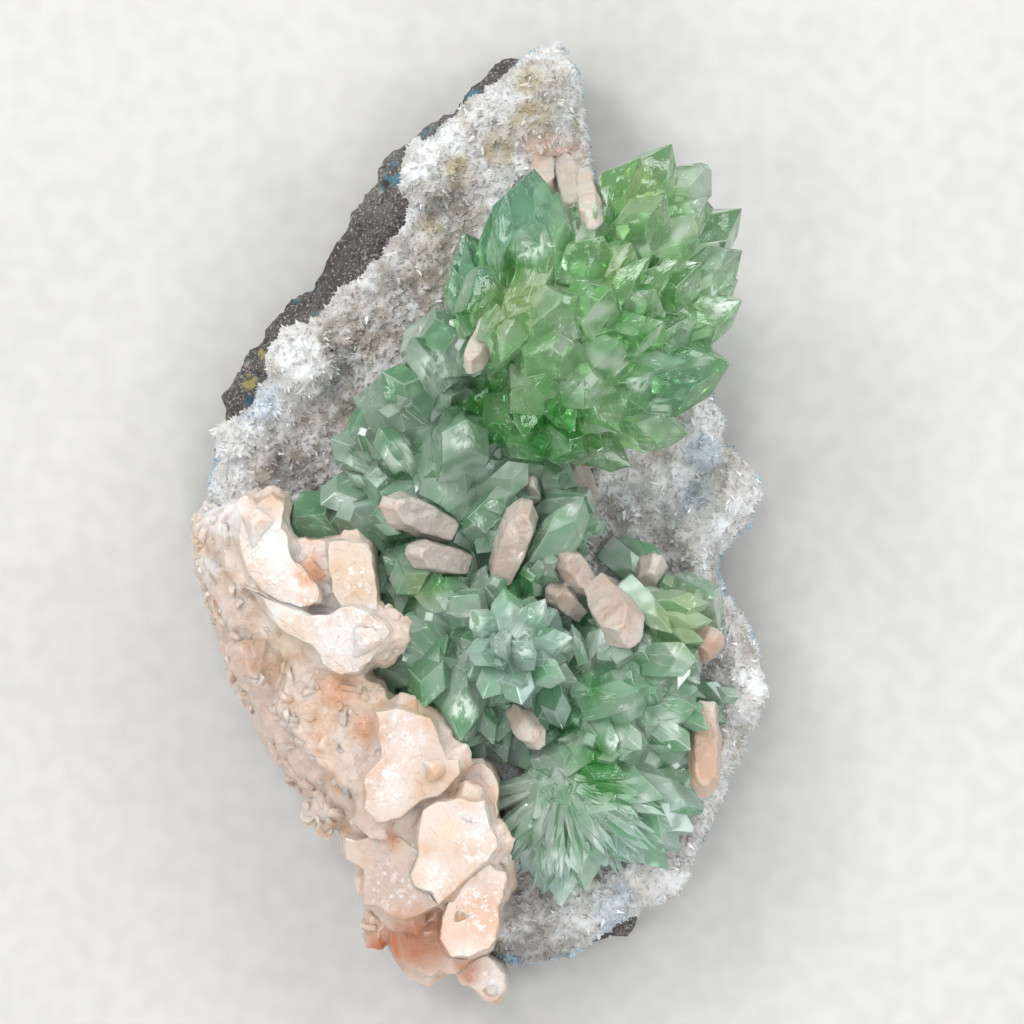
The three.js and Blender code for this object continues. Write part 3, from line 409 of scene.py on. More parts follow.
def druse_colour(tree, place):
    """Colour of chalcedony and its druse over the whole crust."""
    cloud = add_node(
        tree, "TexNoise", {"Scale": 1 / (6 * MM), "Detail": 2.0, "Roughness": 0.55}, Vector=place)
    clumps = add_node(
        tree, "TexNoise", {"Scale": 1 / (1.9 * MM), "Detail": 2.0, "Roughness": 0.6}, Vector=place)
    speckle = add_node(
        tree, "TexNoise", {"Scale": 1 / (0.8 * MM), "Detail": 1.0, "Roughness": 0.7}, Vector=place)
    colour = add_node(
        tree, "ValToRGB", {"stops": [(0.3, "#BFB8AE"), (0.46, "#DCDAD6"), (0.64, "#F0F2F3")]},
        Fac=cloud)
    colour = lay_tone(
        tree, colour,
        add_node(tree, "MapRange", {"From Min": 0.62, "From Max": 0.42, "To Min": 0.3}, Value=clumps))
    # Partly painted shade: a darker mottle at the size of the sugar grains stands in for the shade
    # between them, and is partly brown staining of the crust.
    colour = add_node(
        tree, "Mix", {"data_type": "RGBA"}, 2,
        i0=add_node(tree, "MapRange", {"From Min": 0.5, "From Max": 0.34, "To Max": 0.4}, Value=clumps),
        i6=colour, i7="#B3A99C")
    colour = add_node(
        tree, "Mix", {"data_type": "RGBA"}, 2,
        i0=add_node(
            tree, "MapRange", {"From Min": 0.34, "From Max": 0.25, "To Max": 0.5}, Value=speckle),
        i6=colour, i7="#7A7064")
    height = add_node(tree, "SeparateXYZ", {}, "Z", i0=place)
    ragged = add_node(
        tree, "Math", {"operation": "ADD"}, i0=height,
        i1=add_node(
            tree, "Math", {"operation": "MULTIPLY"},
            i0=add_node(
                tree, "TexNoise", {"Scale": 1 / (4 * MM), "Detail": 1.0, "Roughness": 0.55},
                Vector=place),
            i1=4 * MM))
    colour = add_node(
        tree, "Mix", {"data_type": "RGBA"}, 2,
        i0=add_node(
            tree, "MapRange", {"From Min": 14.0 * MM, "From Max": 12.0 * MM, "To Max": 0.85},
            Value=ragged),
        i6=colour, i7="#93C3DA")
    return add_node(
        tree, "Mix", {"data_type": "RGBA"}, 2,
        i0=add_node(
            tree, "MapRange", {"From Min": 12.2 * MM, "From Max": 10.8 * MM, "To Max": 0.9},
            Value=ragged),
        i6=colour, i7="#3E7C8C")


tone(crust, CRUST_STAINS)

# Chalcedony skin: waxy; the material is opaque, so it does not show the stone's slight translucency.
chalcedony, tree, shader = new_material("waxy_chalcedony")
place = add_node(tree, "TexCoord", {}, "Object")
tree.links.new(druse_colour(tree, place), shader.inputs["Base Color"])
shader.inputs["Roughness"].default_value = 0.42
relief = add_node(
    tree, "Bump", {"Strength": 0.7, "Distance": 0.15 * MM},
    Height=add_node(
        tree, "TexNoise", {"Scale": 1 / (0.5 * MM), "Detail": 3.0, "Roughness": 0.55}, Vector=place))
tree.links.new(relief, shader.inputs["Normal"])
crust.data.materials.append(chalcedony)
only(crust)
bpy.ops.object.shade_smooth()
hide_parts("chalcedony_crust")


# ---- the druse on the crust ----------------------------------------------------------------------
# The sugar on the chalcedony: thousands of quartz points, each a six-sided pyramid that stands
# square to the crust under it. One point is modelled and copied.
POINT_SIDES = 6
POINT_COUNT = 15000
POINT_SIZES = (0.35 * MM, 0.8 * MM)
POINT_SLENDER = 1.15  # length, of its width
POINT_LEAN = 0.28
POINT_LOWEST = 9 * MM  # lower down the crust has no druse
HIDDEN_SHARE = 0.08  # of the points that the green crystals and the stilbite would cover


def shape_of(piece):
    """Vertices and polygons of a piece, which is then deleted, as the pattern for many copies."""
    only(piece)
    bpy.ops.object.transform_apply()
    bpy.ops.object.mode_set(mode="EDIT")
    bpy.ops.mesh.select_all(action="SELECT")
    bpy.ops.mesh.normals_make_consistent(inside=False)
    bpy.ops.object.mode_set(mode="OBJECT")
    vertices = mesh_points(piece).copy()
    polygons = [list(polygon.vertices) for polygon in piece.data.polygons]
    bpy.data.objects.remove(piece)
    return vertices, polygons


def planted(name, shape, placements):
    """One piece made of a copy of a shape for each 4 by 4 placement."""
    vertices, polygons = shape
    homogeneous = np.column_stack([vertices, np.ones(len(vertices))])
    placements = np.array([np.array(matrix) for matrix in placements])
    points = np.einsum("kij,vj->kvi", placements, homogeneous)[:, :, :3].reshape(-1, 3)
    faces = [
        [v + k * len(vertices) for v in polygon]
        for k in range(len(placements)) for polygon in polygons
    ]
    mesh = bpy.data.meshes.new(name)
    mesh.from_pydata(points.tolist(), [], faces)
    piece = bpy.data.objects.new(name, mesh)
    bpy.context.scene.collection.objects.link(piece)
    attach(piece, "root")
    return piece


def spread_over(piece, count, rng, keep):
    """Random places on a piece's surface, as (place, normal), where keep(place, normal) holds."""
    mesh = piece.data
    mesh.calc_loop_triangles()
    corners = np.array([triangle.vertices for triangle in mesh.loop_triangles])
    points = mesh_points(piece)
    a, b, c = points[corners[:, 0]], points[corners[:, 1]], points[corners[:, 2]]
    cross = np.cross(b - a, c - a)
    area = np.linalg.norm(cross, axis=1)
    found = []
    for _ in range(40):
        picked = rng.choice(len(area), count, p=area / area.sum())
        u, v = rng.random((2, count))
        fold = u + v > 1
        u, v = np.where(fold, 1 - u, u), np.where(fold, 1 - v, v)
        places = a[picked] + u[:, None] * (b - a)[picked] + v[:, None] * (c - a)[picked]
        facing = cross[picked] / area[picked][:, None]
        for place_at, normal in zip(places, facing):
            if keep(place_at, normal):
                found.append((Vector(place_at), Vector(normal)))
                if len(found) == count:
                    return found
    return found


def stood(place_at, direction, turn, width, thickness, length):
    """The placement that stands a unit shape on a place, along a direction."""
    frame_turn = direction.to_track_quat("Z", "Y").to_matrix().to_4x4()
    sizes = Matrix.Diagonal((width, thickness, length, 1))
    return Matrix.Translation(place_at) @ frame_turn @ Matrix.Rotation(turn, 4, "Z") @ sizes


covers = [
    BVHTree.FromObject(frame["nodes"][node], bpy.context.evaluated_depsgraph_get())
    for node in ("apophyllite_spray", "apophyllite_druse", "stilbite_flank")
]


def open_to_sky(place_at):
    start = Vector(place_at) + Vector((0, 0, 0.2 * MM))
    return all(cover.ray_cast(start, Vector((0, 0, 1)))[0] is None for cover in covers)


bpy.ops.object.select_all(action="DESELECT")
bpy.ops.mesh.primitive_cone_add(
    vertices=POINT_SIDES, radius1=0.5, radius2=0, depth=1, location=(0, 0, 0.5))
quartz_point = shape_of(bpy.context.object)
rng = np.random.default_rng(23)


def on_druse(at, facing):
    """On the crust's upper side, and seldom where something covers it."""
    if facing[2] <= -0.3 or at[2] <= POINT_LOWEST:
        return False
    return open_to_sky(at) or rng.random() < HIDDEN_SHARE


placements = []
for place_at, normal in spread_over(crust, POINT_COUNT, rng, on_druse):
    size = rng.uniform(*POINT_SIZES) * rng.choice([1, 1, 1, 1.7])
    direction = (normal + Vector(rng.normal(0, POINT_LEAN, 3))).normalized()
    root, turn = place_at - direction * size * 0.5, rng.uniform(0, math.tau)
    placements.append(stood(root, direction, turn, size, size, size * POINT_SLENDER))
druse_points = planted("quartz_points", quartz_point, placements)
tone(druse_points, CRUST_STAINS)

# Quartz points: clear to milky, with bright flat faces that make the crust sparkle.
quartz, tree, shader = new_material("milky_quartz")
place = add_node(tree, "TexCoord", {}, "Object")
lifted = add_node(
    tree, "Mix", {"data_type": "RGBA"}, 2, i0=0.14, i6=druse_colour(tree, place), i7="#FFFFFF")
tree.links.new(lifted, shader.inputs["Base Color"])
shader.inputs["IOR"].default_value = 1.544
shader.inputs["Roughness"].default_value = 0.1
druse_points.data.materials.append(quartz)


# ---- the stilbite flank --------------------------------------------------------------------------
# Stilbite: thick waxy plates with a pearly lustre, grown out of a granular mass of smaller ones down
# the left side. Whitish pink on the broad faces, peach where it is thick and, as painted shade, in the
# hollows of the mass, orange at the bottom end.
STILBITE_VOXEL = 0.42 * MM
SWELL_RANGE = 1.6 * MM  # relief over which the colour goes from painted shade in the hollows to a painted highlight on the crests
PLATE_DEPTH = 11
PLATE_SPREAD = 1.2  # of its outline, from its face down to that depth
SLAB_DROP = 0.7  # the mass under a plate stands this much lower than its face
PLATES = {  # outline from above, height at its middle, and slopes along x and y; millimetres
    "diagonal": (
        [(-33.7, 0.9), (-31.5, 2.3), (-30.6, 3.2), (-29.2, 4.0), (-28.3, 3.2), (-27.3, 3.0),
         (-27.6, 1.0),
         (-28.0, -1.0), (-26.9, -2.7), (-26.6, -4.0), (-26.9, -5.1), (-25.2, -6.2), (-23.5, -8.2),
         (-22.3, -9.9),
         (-22.2, -11.4), (-25.2, -11.9), (-27.8, -11.4), (-30.6, -10.2), (-32.3, -7.8),
         (-33.3, -5.4), (-34.0, -2.5)],
        35.2, 0.18, -0.12),
    "wedge": (
        [(-32.2, -9.1), (-30.2, -11.0), (-28.7, -14.2), (-26.5, -15.9), (-24.5, -16.7), (-22.3, -18.6),
         (-22.0, -20.0), (-19.4, -21.6), (-17.0, -21.4), (-15.2, -19.7), (-13.2, -16.9), (-12.2, -15.6),
         (-12.8, -14.3), (-14.3, -13.5), (-16.3, -12.2), (-18.0, -12.0), (-20.6, -13.0), (-22.6, -13.5),
         (-25.1, -12.6), (-27.9, -11.6)],
        38.2, 0.06, 0.22),
    "square": (
        [(-21.4, -2.8), (-18.8, -2.7), (-15.5, -3.3), (-15.0, -4.8), (-14.1, -12.8), (-14.4, -14.2),
         (-17.4, -13.4),
         (-19.3, -12.2), (-20.4, -9.7), (-21.1, -6.1)],
        34.5, -0.08, -0.12),
    "behind": (
        [(-26.8, -2.7), (-24.8, -2.4), (-21.5, -2.7), (-21.0, -5.4), (-20.2, -10.0), (-22.3, -11.2),
         (-25.4, -7.2),
         (-27.1, -4.3)],
        31.5, 0.05, -0.1),
    "block": (
        [(-14.1, -27.0), (-11.6, -26.4), (-6.4, -28.0), (-5.7, -30.3), (-4.2, -33.4), (-2.7, -33.8),
         (-2.5, -35.5),
         (-4.5, -38.1), (-8.1, -39.9), (-10.9, -41.8), (-14.1, -42.8), (-15.8, -40.6), (-16.0, -38.1),
         (-15.8, -35.9), (-13.3, -33.5), (-14.1, -30.3)],
        36.5, -0.08, 0.1),
    "rimmed": (
        [(-5.5, -39.7), (-2.4, -39.4), (1.2, -39.7), (1.9, -42.9), (2.9, -46.1), (0.4, -49.2),
         (-3.1, -52.3),
         (-5.2, -54.2), (-6.5, -52.6), (-8.7, -51.8), (-9.4, -50.3), (-8.2, -47.8), (-8.5, -43.8),
         (-7.4, -40.9)],
        36.5, -0.12, 0.14),
    "stepped": (
        [(-18.9, -45.3), (-16.1, -45.3), (-11.1, -44.8), (-8.5, -47.0), (-9.3, -50.7), (-6.8, -53.0),
         (-5.3, -54.6),
         (-8.2, -56.0), (-10.6, -56.9), (-12.2, -56.6), (-13.6, -55.0), (-16.1, -55.0), (-16.4, -52.7),
         (-15.9, -49.6), (-18.9, -48.4)],
        31, 0.45, 0.12),
    "orange": (
        [(-3.2, -52.7), (0.4, -49.6), (1.8, -48.7), (3.7, -49.9), (4.3, -51.3), (3.3, -54.9),
         (3.0, -58.5),
         (1.8, -61.3), (-1.0, -62.5), (-3.9, -62.5), (-5.3, -59.9), (-5.0, -56.3), (-4.6, -54.6)],
        30, -0.1, 0.4),
    "low": (
        [(-12.3, -57.0), (-10.7, -57.3), (-5.4, -55.3), (-4.0, -63.0), (-1.1, -63.2), (-3.2, -65.4),
         (-5.4, -64.7),
         (-6.8, -65.6), (-9.7, -64.4), (-11.9, -62.5), (-12.6, -60.1)],
        24, 0.1, 0.35),
    "end": (
        [(-3.3, -64.6), (-1.1, -63.6), (0.8, -62.9), (2.5, -63.9), (3.8, -65.6), (4.1, -68.0),
         (2.8, -69.6),
         (1.2, -69.1), (0.1, -68.0), (-2.3, -67.2), (-3.0, -66.2)],
        18.5, 0.0, 0.3),
    "round": (
        [(-1.3, -35.5), (0.7, -34.3), (2.1, -35.2), (2.9, -37.6), (2.7, -42.9), (1.6, -40.6),
         (-1.0, -39.8),
         (-3.2, -38.6)],
        31, 0.0, -0.1),
}


def plate_of(name, outline, height, slope_x, slope_y, depth=PLATE_DEPTH, spread=PLATE_SPREAD):
    """One thick plate: its sloping face, and sides that spread downwards into the mass."""
    middle = np.mean(outline, axis=0)
    face = [(x, y, height + slope_x * (x - middle[0]) + slope_y * (y - middle[1])) for x, y in outline]
    mesh = bpy.data.meshes.new(name)
    mesh.from_pydata([Vector(point) * MM for point in face], [], [list(range(len(face)))])
    plate = bpy.data.objects.new(name, mesh)
    bpy.context.scene.collection.objects.link(plate)
    only(plate)
    bpy.ops.object.mode_set(mode="EDIT")
    bpy.ops.mesh.select_all(action="SELECT")
    bpy.ops.mesh.extrude_region_move(TRANSFORM_OT_translate={"value": (0, 0, -depth * MM)})
    bpy.ops.transform.resize(value=(spread, spread, 1), center_override=(*(Vector(middle) * MM), 0))
    bpy.ops.mesh.select_all(action="SELECT")
    bpy.ops.mesh.normals_make_consistent(inside=False)
    bpy.ops.object.mode_set(mode="OBJECT")
    return plate


def on_plate(points, margin, outline, height, slope_x, slope_y):
    """1 on a plate's face and sides, falling to 0 at the margin outside them."""
    middle = np.mean(outline, axis=0) * MM
    offset = points[:, :2] - middle
    depth = height * MM + offset @ np.array([slope_x, slope_y]) - points[:, 2]
    spread = 1 + (PLATE_SPREAD - 1) * np.clip(depth / (PLATE_DEPTH * MM), 0, 1)
    plan = offset / spread[:, None] + middle
    outline = np.array(outline) * MM
    inside = np.zeros(len(points), bool)
    nearest = np.full(len(points), np.inf)
    for start, end in zip(outline, np.roll(outline, -1, axis=0)):
        side = (start[1] > plan[:, 1]) != (end[1] > plan[:, 1])
        rise = end[1] - start[1] if end[1] != start[1] else 1e-12
        inside ^= side & (plan[:, 0] < (end[0] - start[0]) * (plan[:, 1] - start[1]) / rise + start[0])
        edge = end - start
        along = np.clip(((plan - start) @ edge) / (edge @ edge), 0, 1)
        nearest = np.minimum(nearest, np.linalg.norm(plan - start - along[:, None] * edge, axis=1))
    near = np.where(inside, 1.0, np.clip(1.5 - nearest / margin, 0, 1))
    return np.where(np.abs(depth) < PLATE_DEPTH * MM, near, 0.0)


# The mass between the plates stands nearly as high as they do: the same kind of slab, lower.
SADDLES = [
    ([(-29, -9), (-24, -5), (-20, -9), (-16, -12), (-20, -14), (-27, -13)], 32, 0.0, 0.0),
    ([(-26, -20), (-20, -21), (-14, -23), (-12, -27), (-15, -34), (-17, -40), (-23, -34),
        (-29, -27)], 30.5, 0.15, 0.1),
    ([(-14, -41), (-9, -40), (-5, -38), (-6, -46), (-9, -50), (-14, -47)], 32, 0.1, 0.1),
    ([(-10, -51), (-6, -50), (-2, -51), (-3, -58), (-8, -60), (-11, -57)], 26.5, 0.0, 0.3),
    ([(-36, 2), (-32, 4), (-30, 0), (-32, -6), (-34, -10), (-37, -4)], 29, 0.3, -0.1),
]
flank = cast_of("stilbite_flank", "stilbite_mass")
slabs = [
    plate_of(name, outline, height - SLAB_DROP, *slopes)
    for name, (outline, height, *slopes) in PLATES.items()
]
slabs += [plate_of(f"saddle_{number}", *form) for number, form in enumerate(SADDLES)]
only(flank)
for slab in slabs:
    slab.select_set(True)
bpy.ops.object.join()
finish_with(flank, "REMESH", mode="VOXEL", voxel_size=STILBITE_VOXEL)
before = mesh_points(flank)
plain = np.zeros(len(before))
for form in PLATES.values():
    plain = np.maximum(plain, on_plate(before, 0.7 * MM, *form))
coarse = flank.vertex_groups.new(name="granular")
broad = flank.vertex_groups.new(name="plates")
for index, share in enumerate(plain):
    coarse.add([index], 1 - float(share), "REPLACE")
    broad.add([index], float(share), "REPLACE")
normals = np.array([vertex.normal for vertex in flank.data.vertices])
finish_with(flank, "SMOOTH", factor=0.5, iterations=6, vertex_group="granular")
finish_with(flank, "SMOOTH", factor=0.5, iterations=1, vertex_group="plates")
roughen(flank, "VORONOI", 2.8 * MM, -0.9 * MM, "granular")
roughen(flank, "CLOUDS", 1.3 * MM, 0.6 * MM, "granular")
roughen(flank, "VORONOI", 4.2 * MM, 0.6 * MM, "plates")
roughen(flank, "CLOUDS", 0.9 * MM, 0.22 * MM, "plates")
swell = np.einsum("ij,ij->i", mesh_points(flank) - before, normals)
store(flank, "swell", "FLOAT", "POINT", np.clip(0.5 + swell / SWELL_RANGE, 0, 1))

# The broad faces themselves, with broken edges.
CHIP_LENGTH, CHIP_SWING = 1.3, 0.16  # of the breaks along an edge; millimetres
rng = np.random.default_rng(29)
plates = []
for name, (outline, *lie) in PLATES.items():
    broken = []
    for start, end in zip(np.array(outline), np.roll(outline, -1, axis=0)):
        count = max(1, round(np.linalg.norm(end - start) / CHIP_LENGTH))
        broken += [
            start + (end - start) * k / count + rng.normal(0, CHIP_SWING, 2) for k in range(count)
        ]
    plates.append(plate_of(name, broken, *lie, depth=5, spread=1.05))
    finish_with(plates[-1], "BEVEL", width=0.22 * MM, segments=2, limit_method="ANGLE",
                angle_limit=math.radians(40))
only(plates[0])
for plate in plates:
    plate.select_set(True)
bpy.ops.object.join()
plates = bpy.context.object
plates.name = plates.data.name = "stilbite_plates"
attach(plates, "root")

# Where the stilbite is white, cream, pinkish grey, peach or orange. The whitest patches, on the
# diagonal plate and the wedge, are partly a painted sheen of strongly lit faces.
STILBITE_TONES = [
    ("#FAF6F4", 0.95, [((-20, -16), 7), ((-28, -13), 4), ((-29, -4), 6), ((-25, -8), 4),
        ((-36, 2), 6), ((-38, -6), 3)]),
    ("#F7EFEB", 0.85, [((-10, -31), 5), ((-12, -38), 4), ((-1, -43), 4), ((-6, -50), 3),
        ((2, -66), 3)]),
    ("#F0DCC4", 0.8, [((-17.5, -8), 5), ((-4, -44), 3), ((-27, -17), 5), ((-14, -24), 4)]),
    ("#E2CAC1", 0.9, [((-13, -52), 6), ((-36, -20), 6), ((-27, -37), 6), ((-31, -28), 5)]),
    ("#E6AC84", 0.9, [((0, -56), 6), ((-24, -7), 3), ((-20, -24), 4), ((-16, -29), 3),
        ((-12, -45.5), 2)]),
    ("#CB7C4E", 0.95, [((-8, -60), 6.5), ((-13, -62), 5), ((-1, -65), 3)]),
]
# Where the broad faces get painted white glints.
PAINTED_GLINTS = [
    ((-29, -6), 6), ((-18, -16), 7), ((-25, -12), 4), ((-17, -8), 4), ((-11, -31), 5),
    ((-13, -37), 4), ((0, -46), 5),
    ((-6, -51), 4), ((-12, -52), 5), ((1, -55), 5), ((2, -66), 3), ((-36, 2), 4),
]


def stilbite_material(name, tones, pale, deep, depth_of_light, clear, shade):
    """Stilbite, as grown: pearly and translucent, with cleavage steps and fine flecks in its surface,
    painted white glints on the broad faces, painted shade in the hollows of the mass and a painted
    highlight on its crests.
    """
    material, tree, shader = new_material(name)
    place = add_node(tree, "TexCoord", {}, "Object")
    plan = ragged_plan(tree, place)
    cloud = add_node(
        tree, "TexNoise", {"Scale": 1 / (5 * MM), "Detail": 4.0, "Roughness": 0.55}, Vector=place)
    colour = add_node(
        tree, "ValToRGB", {"stops": [(0.34, deep), (0.52, pale), (0.72, "#EFDFD5")]}, Fac=cloud)
    colour = toned(
        tree, plan, colour, tones,
        add_node(tree, "MapRange", {"From Min": 0.3, "From Max": 0.55, "To Min": 0.55}, Value=cloud))
    # Painted shade: the hollows of the mass take the deep colour.
    swell = add_node(tree, "Attribute", {"attribute_name": "swell"}, "Fac")
    painted_hollow_shade = add_node(tree, "MapRange", {"From Min": 0.45, "From Max": 0.1, "To Max": 0.6}, Value=swell)
    inside = add_node(
        tree, "Math", {"operation": "MULTIPLY"}, i0=painted_hollow_shade,
        i1=add_node(tree, "MapRange", {"From Min": 0.0, "From Max": 0.02}, Value=swell))
    colour = add_node(tree, "Mix", {"data_type": "RGBA"}, 2, i0=inside, i6=colour, i7=deep)
    # Painted highlight: the crests of the mass go paler.
    colour = add_node(
        tree, "Mix", {"data_type": "RGBA"}, 2,
        i0=add_node(tree, "MapRange", {"From Min": 0.6, "From Max": 0.95, "To Max": 0.4}, Value=swell),
        i6=colour, i7="#F3E8E2")
    flecks = add_node(
        tree, "TexNoise", {"Scale": 1 / (0.55 * MM), "Detail": 3.0, "Roughness": 0.7}, Vector=place)
    smears = add_node(
        tree, "TexNoise", {"Scale": 1 / (1.1 * MM), "Detail": 4.0, "Roughness": 0.75}, Vector=place)
    # Painted highlight: white glints in ragged spots on the broad faces, broken up by a noise.
    painted_glint = within(tree, plan, PAINTED_GLINTS)
    painted_glint = add_node(
        tree, "Math", {"operation": "MULTIPLY"}, i0=painted_glint,
        i1=add_node(
            tree, "MapRange", {"From Min": 0.52, "From Max": 0.66, "To Max": 0.8}, Value=smears))
    colour = add_node(
        tree, "Mix", {"data_type": "RGBA", "blend_type": "MULTIPLY"}, 2, i0=1.0, i6=colour, i7=shade)
    colour = add_node(tree, "Mix", {"data_type": "RGBA"}, 2, i0=painted_glint, i6=colour, i7="#FFFFFF")
    tree.links.new(colour, shader.inputs["Base Color"])
    shader.inputs["Roughness"].default_value = 0.34
    shader.inputs["Transmission Weight"].default_value = clear
    shader.inputs["IOR"].default_value = 1.5
    shader.inputs["Subsurface Weight"].default_value = 0.7
    shader.inputs["Subsurface Radius"].default_value = (1.0, 0.72, 0.55)
    shader.inputs["Subsurface Scale"].default_value = depth_of_light
    shader.inputs["Coat Weight"].default_value = 0.5
    shader.inputs["Coat Roughness"].default_value = 0.12
    ledges = add_node(
        tree, "TexNoise", {"Scale": 1 / (4.5 * MM), "Detail": 3.0, "Roughness": 0.6}, Vector=place)
    ledges = add_node(
        tree, "Math", {"operation": "ADD"},
        i0=add_node(tree, "MapRange", {"From Min": 0.42, "From Max": 0.44}, Value=ledges),
        i1=add_node(tree, "MapRange", {"From Min": 0.54, "From Max": 0.56}, Value=ledges))
    steps = add_node(tree, "Bump", {"Strength": 0.5, "Distance": 0.3 * MM}, Height=ledges)
    steps = add_node(
        tree, "Bump", {"Strength": 0.6, "Distance": 0.35 * MM},
        Height=add_node(
            tree, "TexNoise", {"Scale": 1 / (2.2 * MM), "Detail": 2.0, "Roughness": 0.55},
            Vector=place),
        Normal=steps)
    tree.links.new(
        add_node(tree, "Bump", {"Strength": 0.7, "Distance": 0.14 * MM}, Height=flecks, Normal=steps),
        shader.inputs["Normal"])
    return material


stilbite = stilbite_material(
    "pearly_stilbite", STILBITE_TONES, pale="#EDDACC", deep="#E4BFA2", depth_of_light=1.5 * MM, clear=0,
    shade="#F1EFED")
for piece in (flank, plates):
    piece.data.materials.append(stilbite)
only(flank)
bpy.ops.object.shade_smooth()
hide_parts("stilbite_flank")

# Small blades of the same mineral stand out of the granular parts.
BLADE_COUNT = 220
BLADE_LENGTHS = (1.2 * MM, 2.8 * MM)
bpy.ops.object.select_all(action="DESELECT")
bpy.ops.mesh.primitive_cube_add(size=1, location=(0, 0, 0.5))
blade = bpy.context.object
bpy.ops.object.mode_set(mode="EDIT")
for side in (-1, 1):
    bpy.ops.mesh.select_all(action="SELECT")
    bpy.ops.mesh.bisect(
        plane_co=(side * 0.5, 0, 0.68), plane_no=(side, 0, 0.9), use_fill=True, clear_outer=True)
    bpy.ops.mesh.select_all(action="SELECT")
    bpy.ops.mesh.bisect(
        plane_co=(0, side * 0.5, 0.8), plane_no=(0, side, 0.6), use_fill=True, clear_outer=True)
bpy.ops.object.mode_set(mode="OBJECT")
finish_with(blade, "BEVEL", width=0.06, segments=1, limit_method="ANGLE", angle_limit=math.radians(25))
blade_shape = shape_of(blade)

rng = np.random.default_rng(31)


def on_granular(at, facing):
    """Anywhere on the flank but on a plate."""
    if facing[2] < -0.1 or at[2] < 8 * MM:
        return False
    at = np.array([at])
    return not any(on_plate(at, 0.8 * MM, *form)[0] for form in PLATES.values())


placements = []
for place_at, normal in spread_over(flank, BLADE_COUNT, rng, on_granular):
    length = rng.uniform(*BLADE_LENGTHS)
    direction = (normal + Vector(rng.normal(0, 0.5, 3)) + Vector((-0.2, 0, 0.1))).normalized()
    placements.append(stood(place_at - direction * length * 0.72, direction, rng.uniform(0, math.tau),
                            length * rng.uniform(0.8, 1.1), length * rng.uniform(0.3, 0.4), length))
blades = planted("stilbite_blades", blade_shape, placements)
blades.data.materials.append(stilbite)

# ---- single stilbite crystals --------------------------------------------------------------------
# Small stilbite crystals scattered over the green ones: waxy plates with worn, roof-shaped ends that
# let some of the green show through.
def crisp(piece, sharp, width, segments=1):
    """Merges a faceted piece's coplanar triangles and bevels its ridges."""
    only(piece)
    bpy.ops.object.mode_set(mode="EDIT")
    bpy.ops.mesh.select_all(action="SELECT")
    bpy.ops.mesh.remove_doubles(threshold=0.08 * MM)
    bpy.ops.mesh.dissolve_limited(angle_limit=math.radians(1.5))
    bpy.ops.object.mode_set(mode="OBJECT")
    finish_with(piece, "BEVEL", width=width, segments=segments, limit_method="ANGLE",
                angle_limit=math.radians(sharp), use_clamp_overlap=False)


SPRIG_TONES = [
    ("#D3C8BF", 0.9, [((-7, 0.5), 6), ((-4, -6), 6), ((14, 5), 5), ((6, 4), 2)]),
    ("#F1E6D6", 0.8, [((16, 44), 6), ((2, 25), 5), ((12, 48), 4)]),
    ("#DDB08F", 0.8, [((33, -34), 8), ((8, -44), 5), ((34, -19), 4)]),
]
sprig_stilbite = stilbite_material(
    "waxy_stilbite", SPRIG_TONES, pale="#F3E5DA", deep="#E6CDBC", depth_of_light=1.2 * MM, clear=0.3,
    shade="#FFFFFF")
for node in sorted(frame["nodes"]):
    if node.startswith("stilbite_crystal_"):
        sprig = cast_of(node, node.replace("crystal", "sprig"))
        crisp(sprig, 25, 0.1 * MM)
        finish_with(sprig, "REMESH", mode="VOXEL", voxel_size=0.25 * MM)
        roughen(sprig, "CLOUDS", 3.4 * MM, 0.7 * MM)
        roughen(sprig, "VORONOI", 2.4 * MM, -0.2 * MM)
        sprig.data.materials.append(sprig_stilbite)
        only(sprig)
        bpy.ops.object.shade_smooth()
        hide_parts(node)


# ---- the big apophyllite spray -------------------------------------------------------------------
# Apophyllite: glassy square prisms with four-sided points that radiate from one heart. Smaller ones
# of the same habit stand in the angles between them, and all are grown into one clear body.
SPRAY_HEART = Vector((5.1, 17.95, 18)) * MM
TIP_SLOPE = 0.55  # of the four faces of a point

bpy.ops.object.select_all(action="DESELECT")
bpy.ops.mesh.primitive_cube_add(size=1, location=(0, 0, 0.5))
prism = bpy.context.object
bpy.ops.object.mode_set(mode="EDIT")
for x, y in ((1, 1), (-1, 1), (-1, -1), (1, -1)):
    bpy.ops.mesh.select_all(action="SELECT")
    bpy.ops.mesh.bisect(
        plane_co=(0, 0, 1), plane_no=(x * TIP_SLOPE, y * TIP_SLOPE, 1), use_fill=True, clear_outer=True)
bpy.ops.object.mode_set(mode="OBJECT")
finish_with(prism, "BEVEL", width=0.025, segments=1, limit_method="ANGLE", angle_limit=math.radians(20))
prism_shape = shape_of(prism)


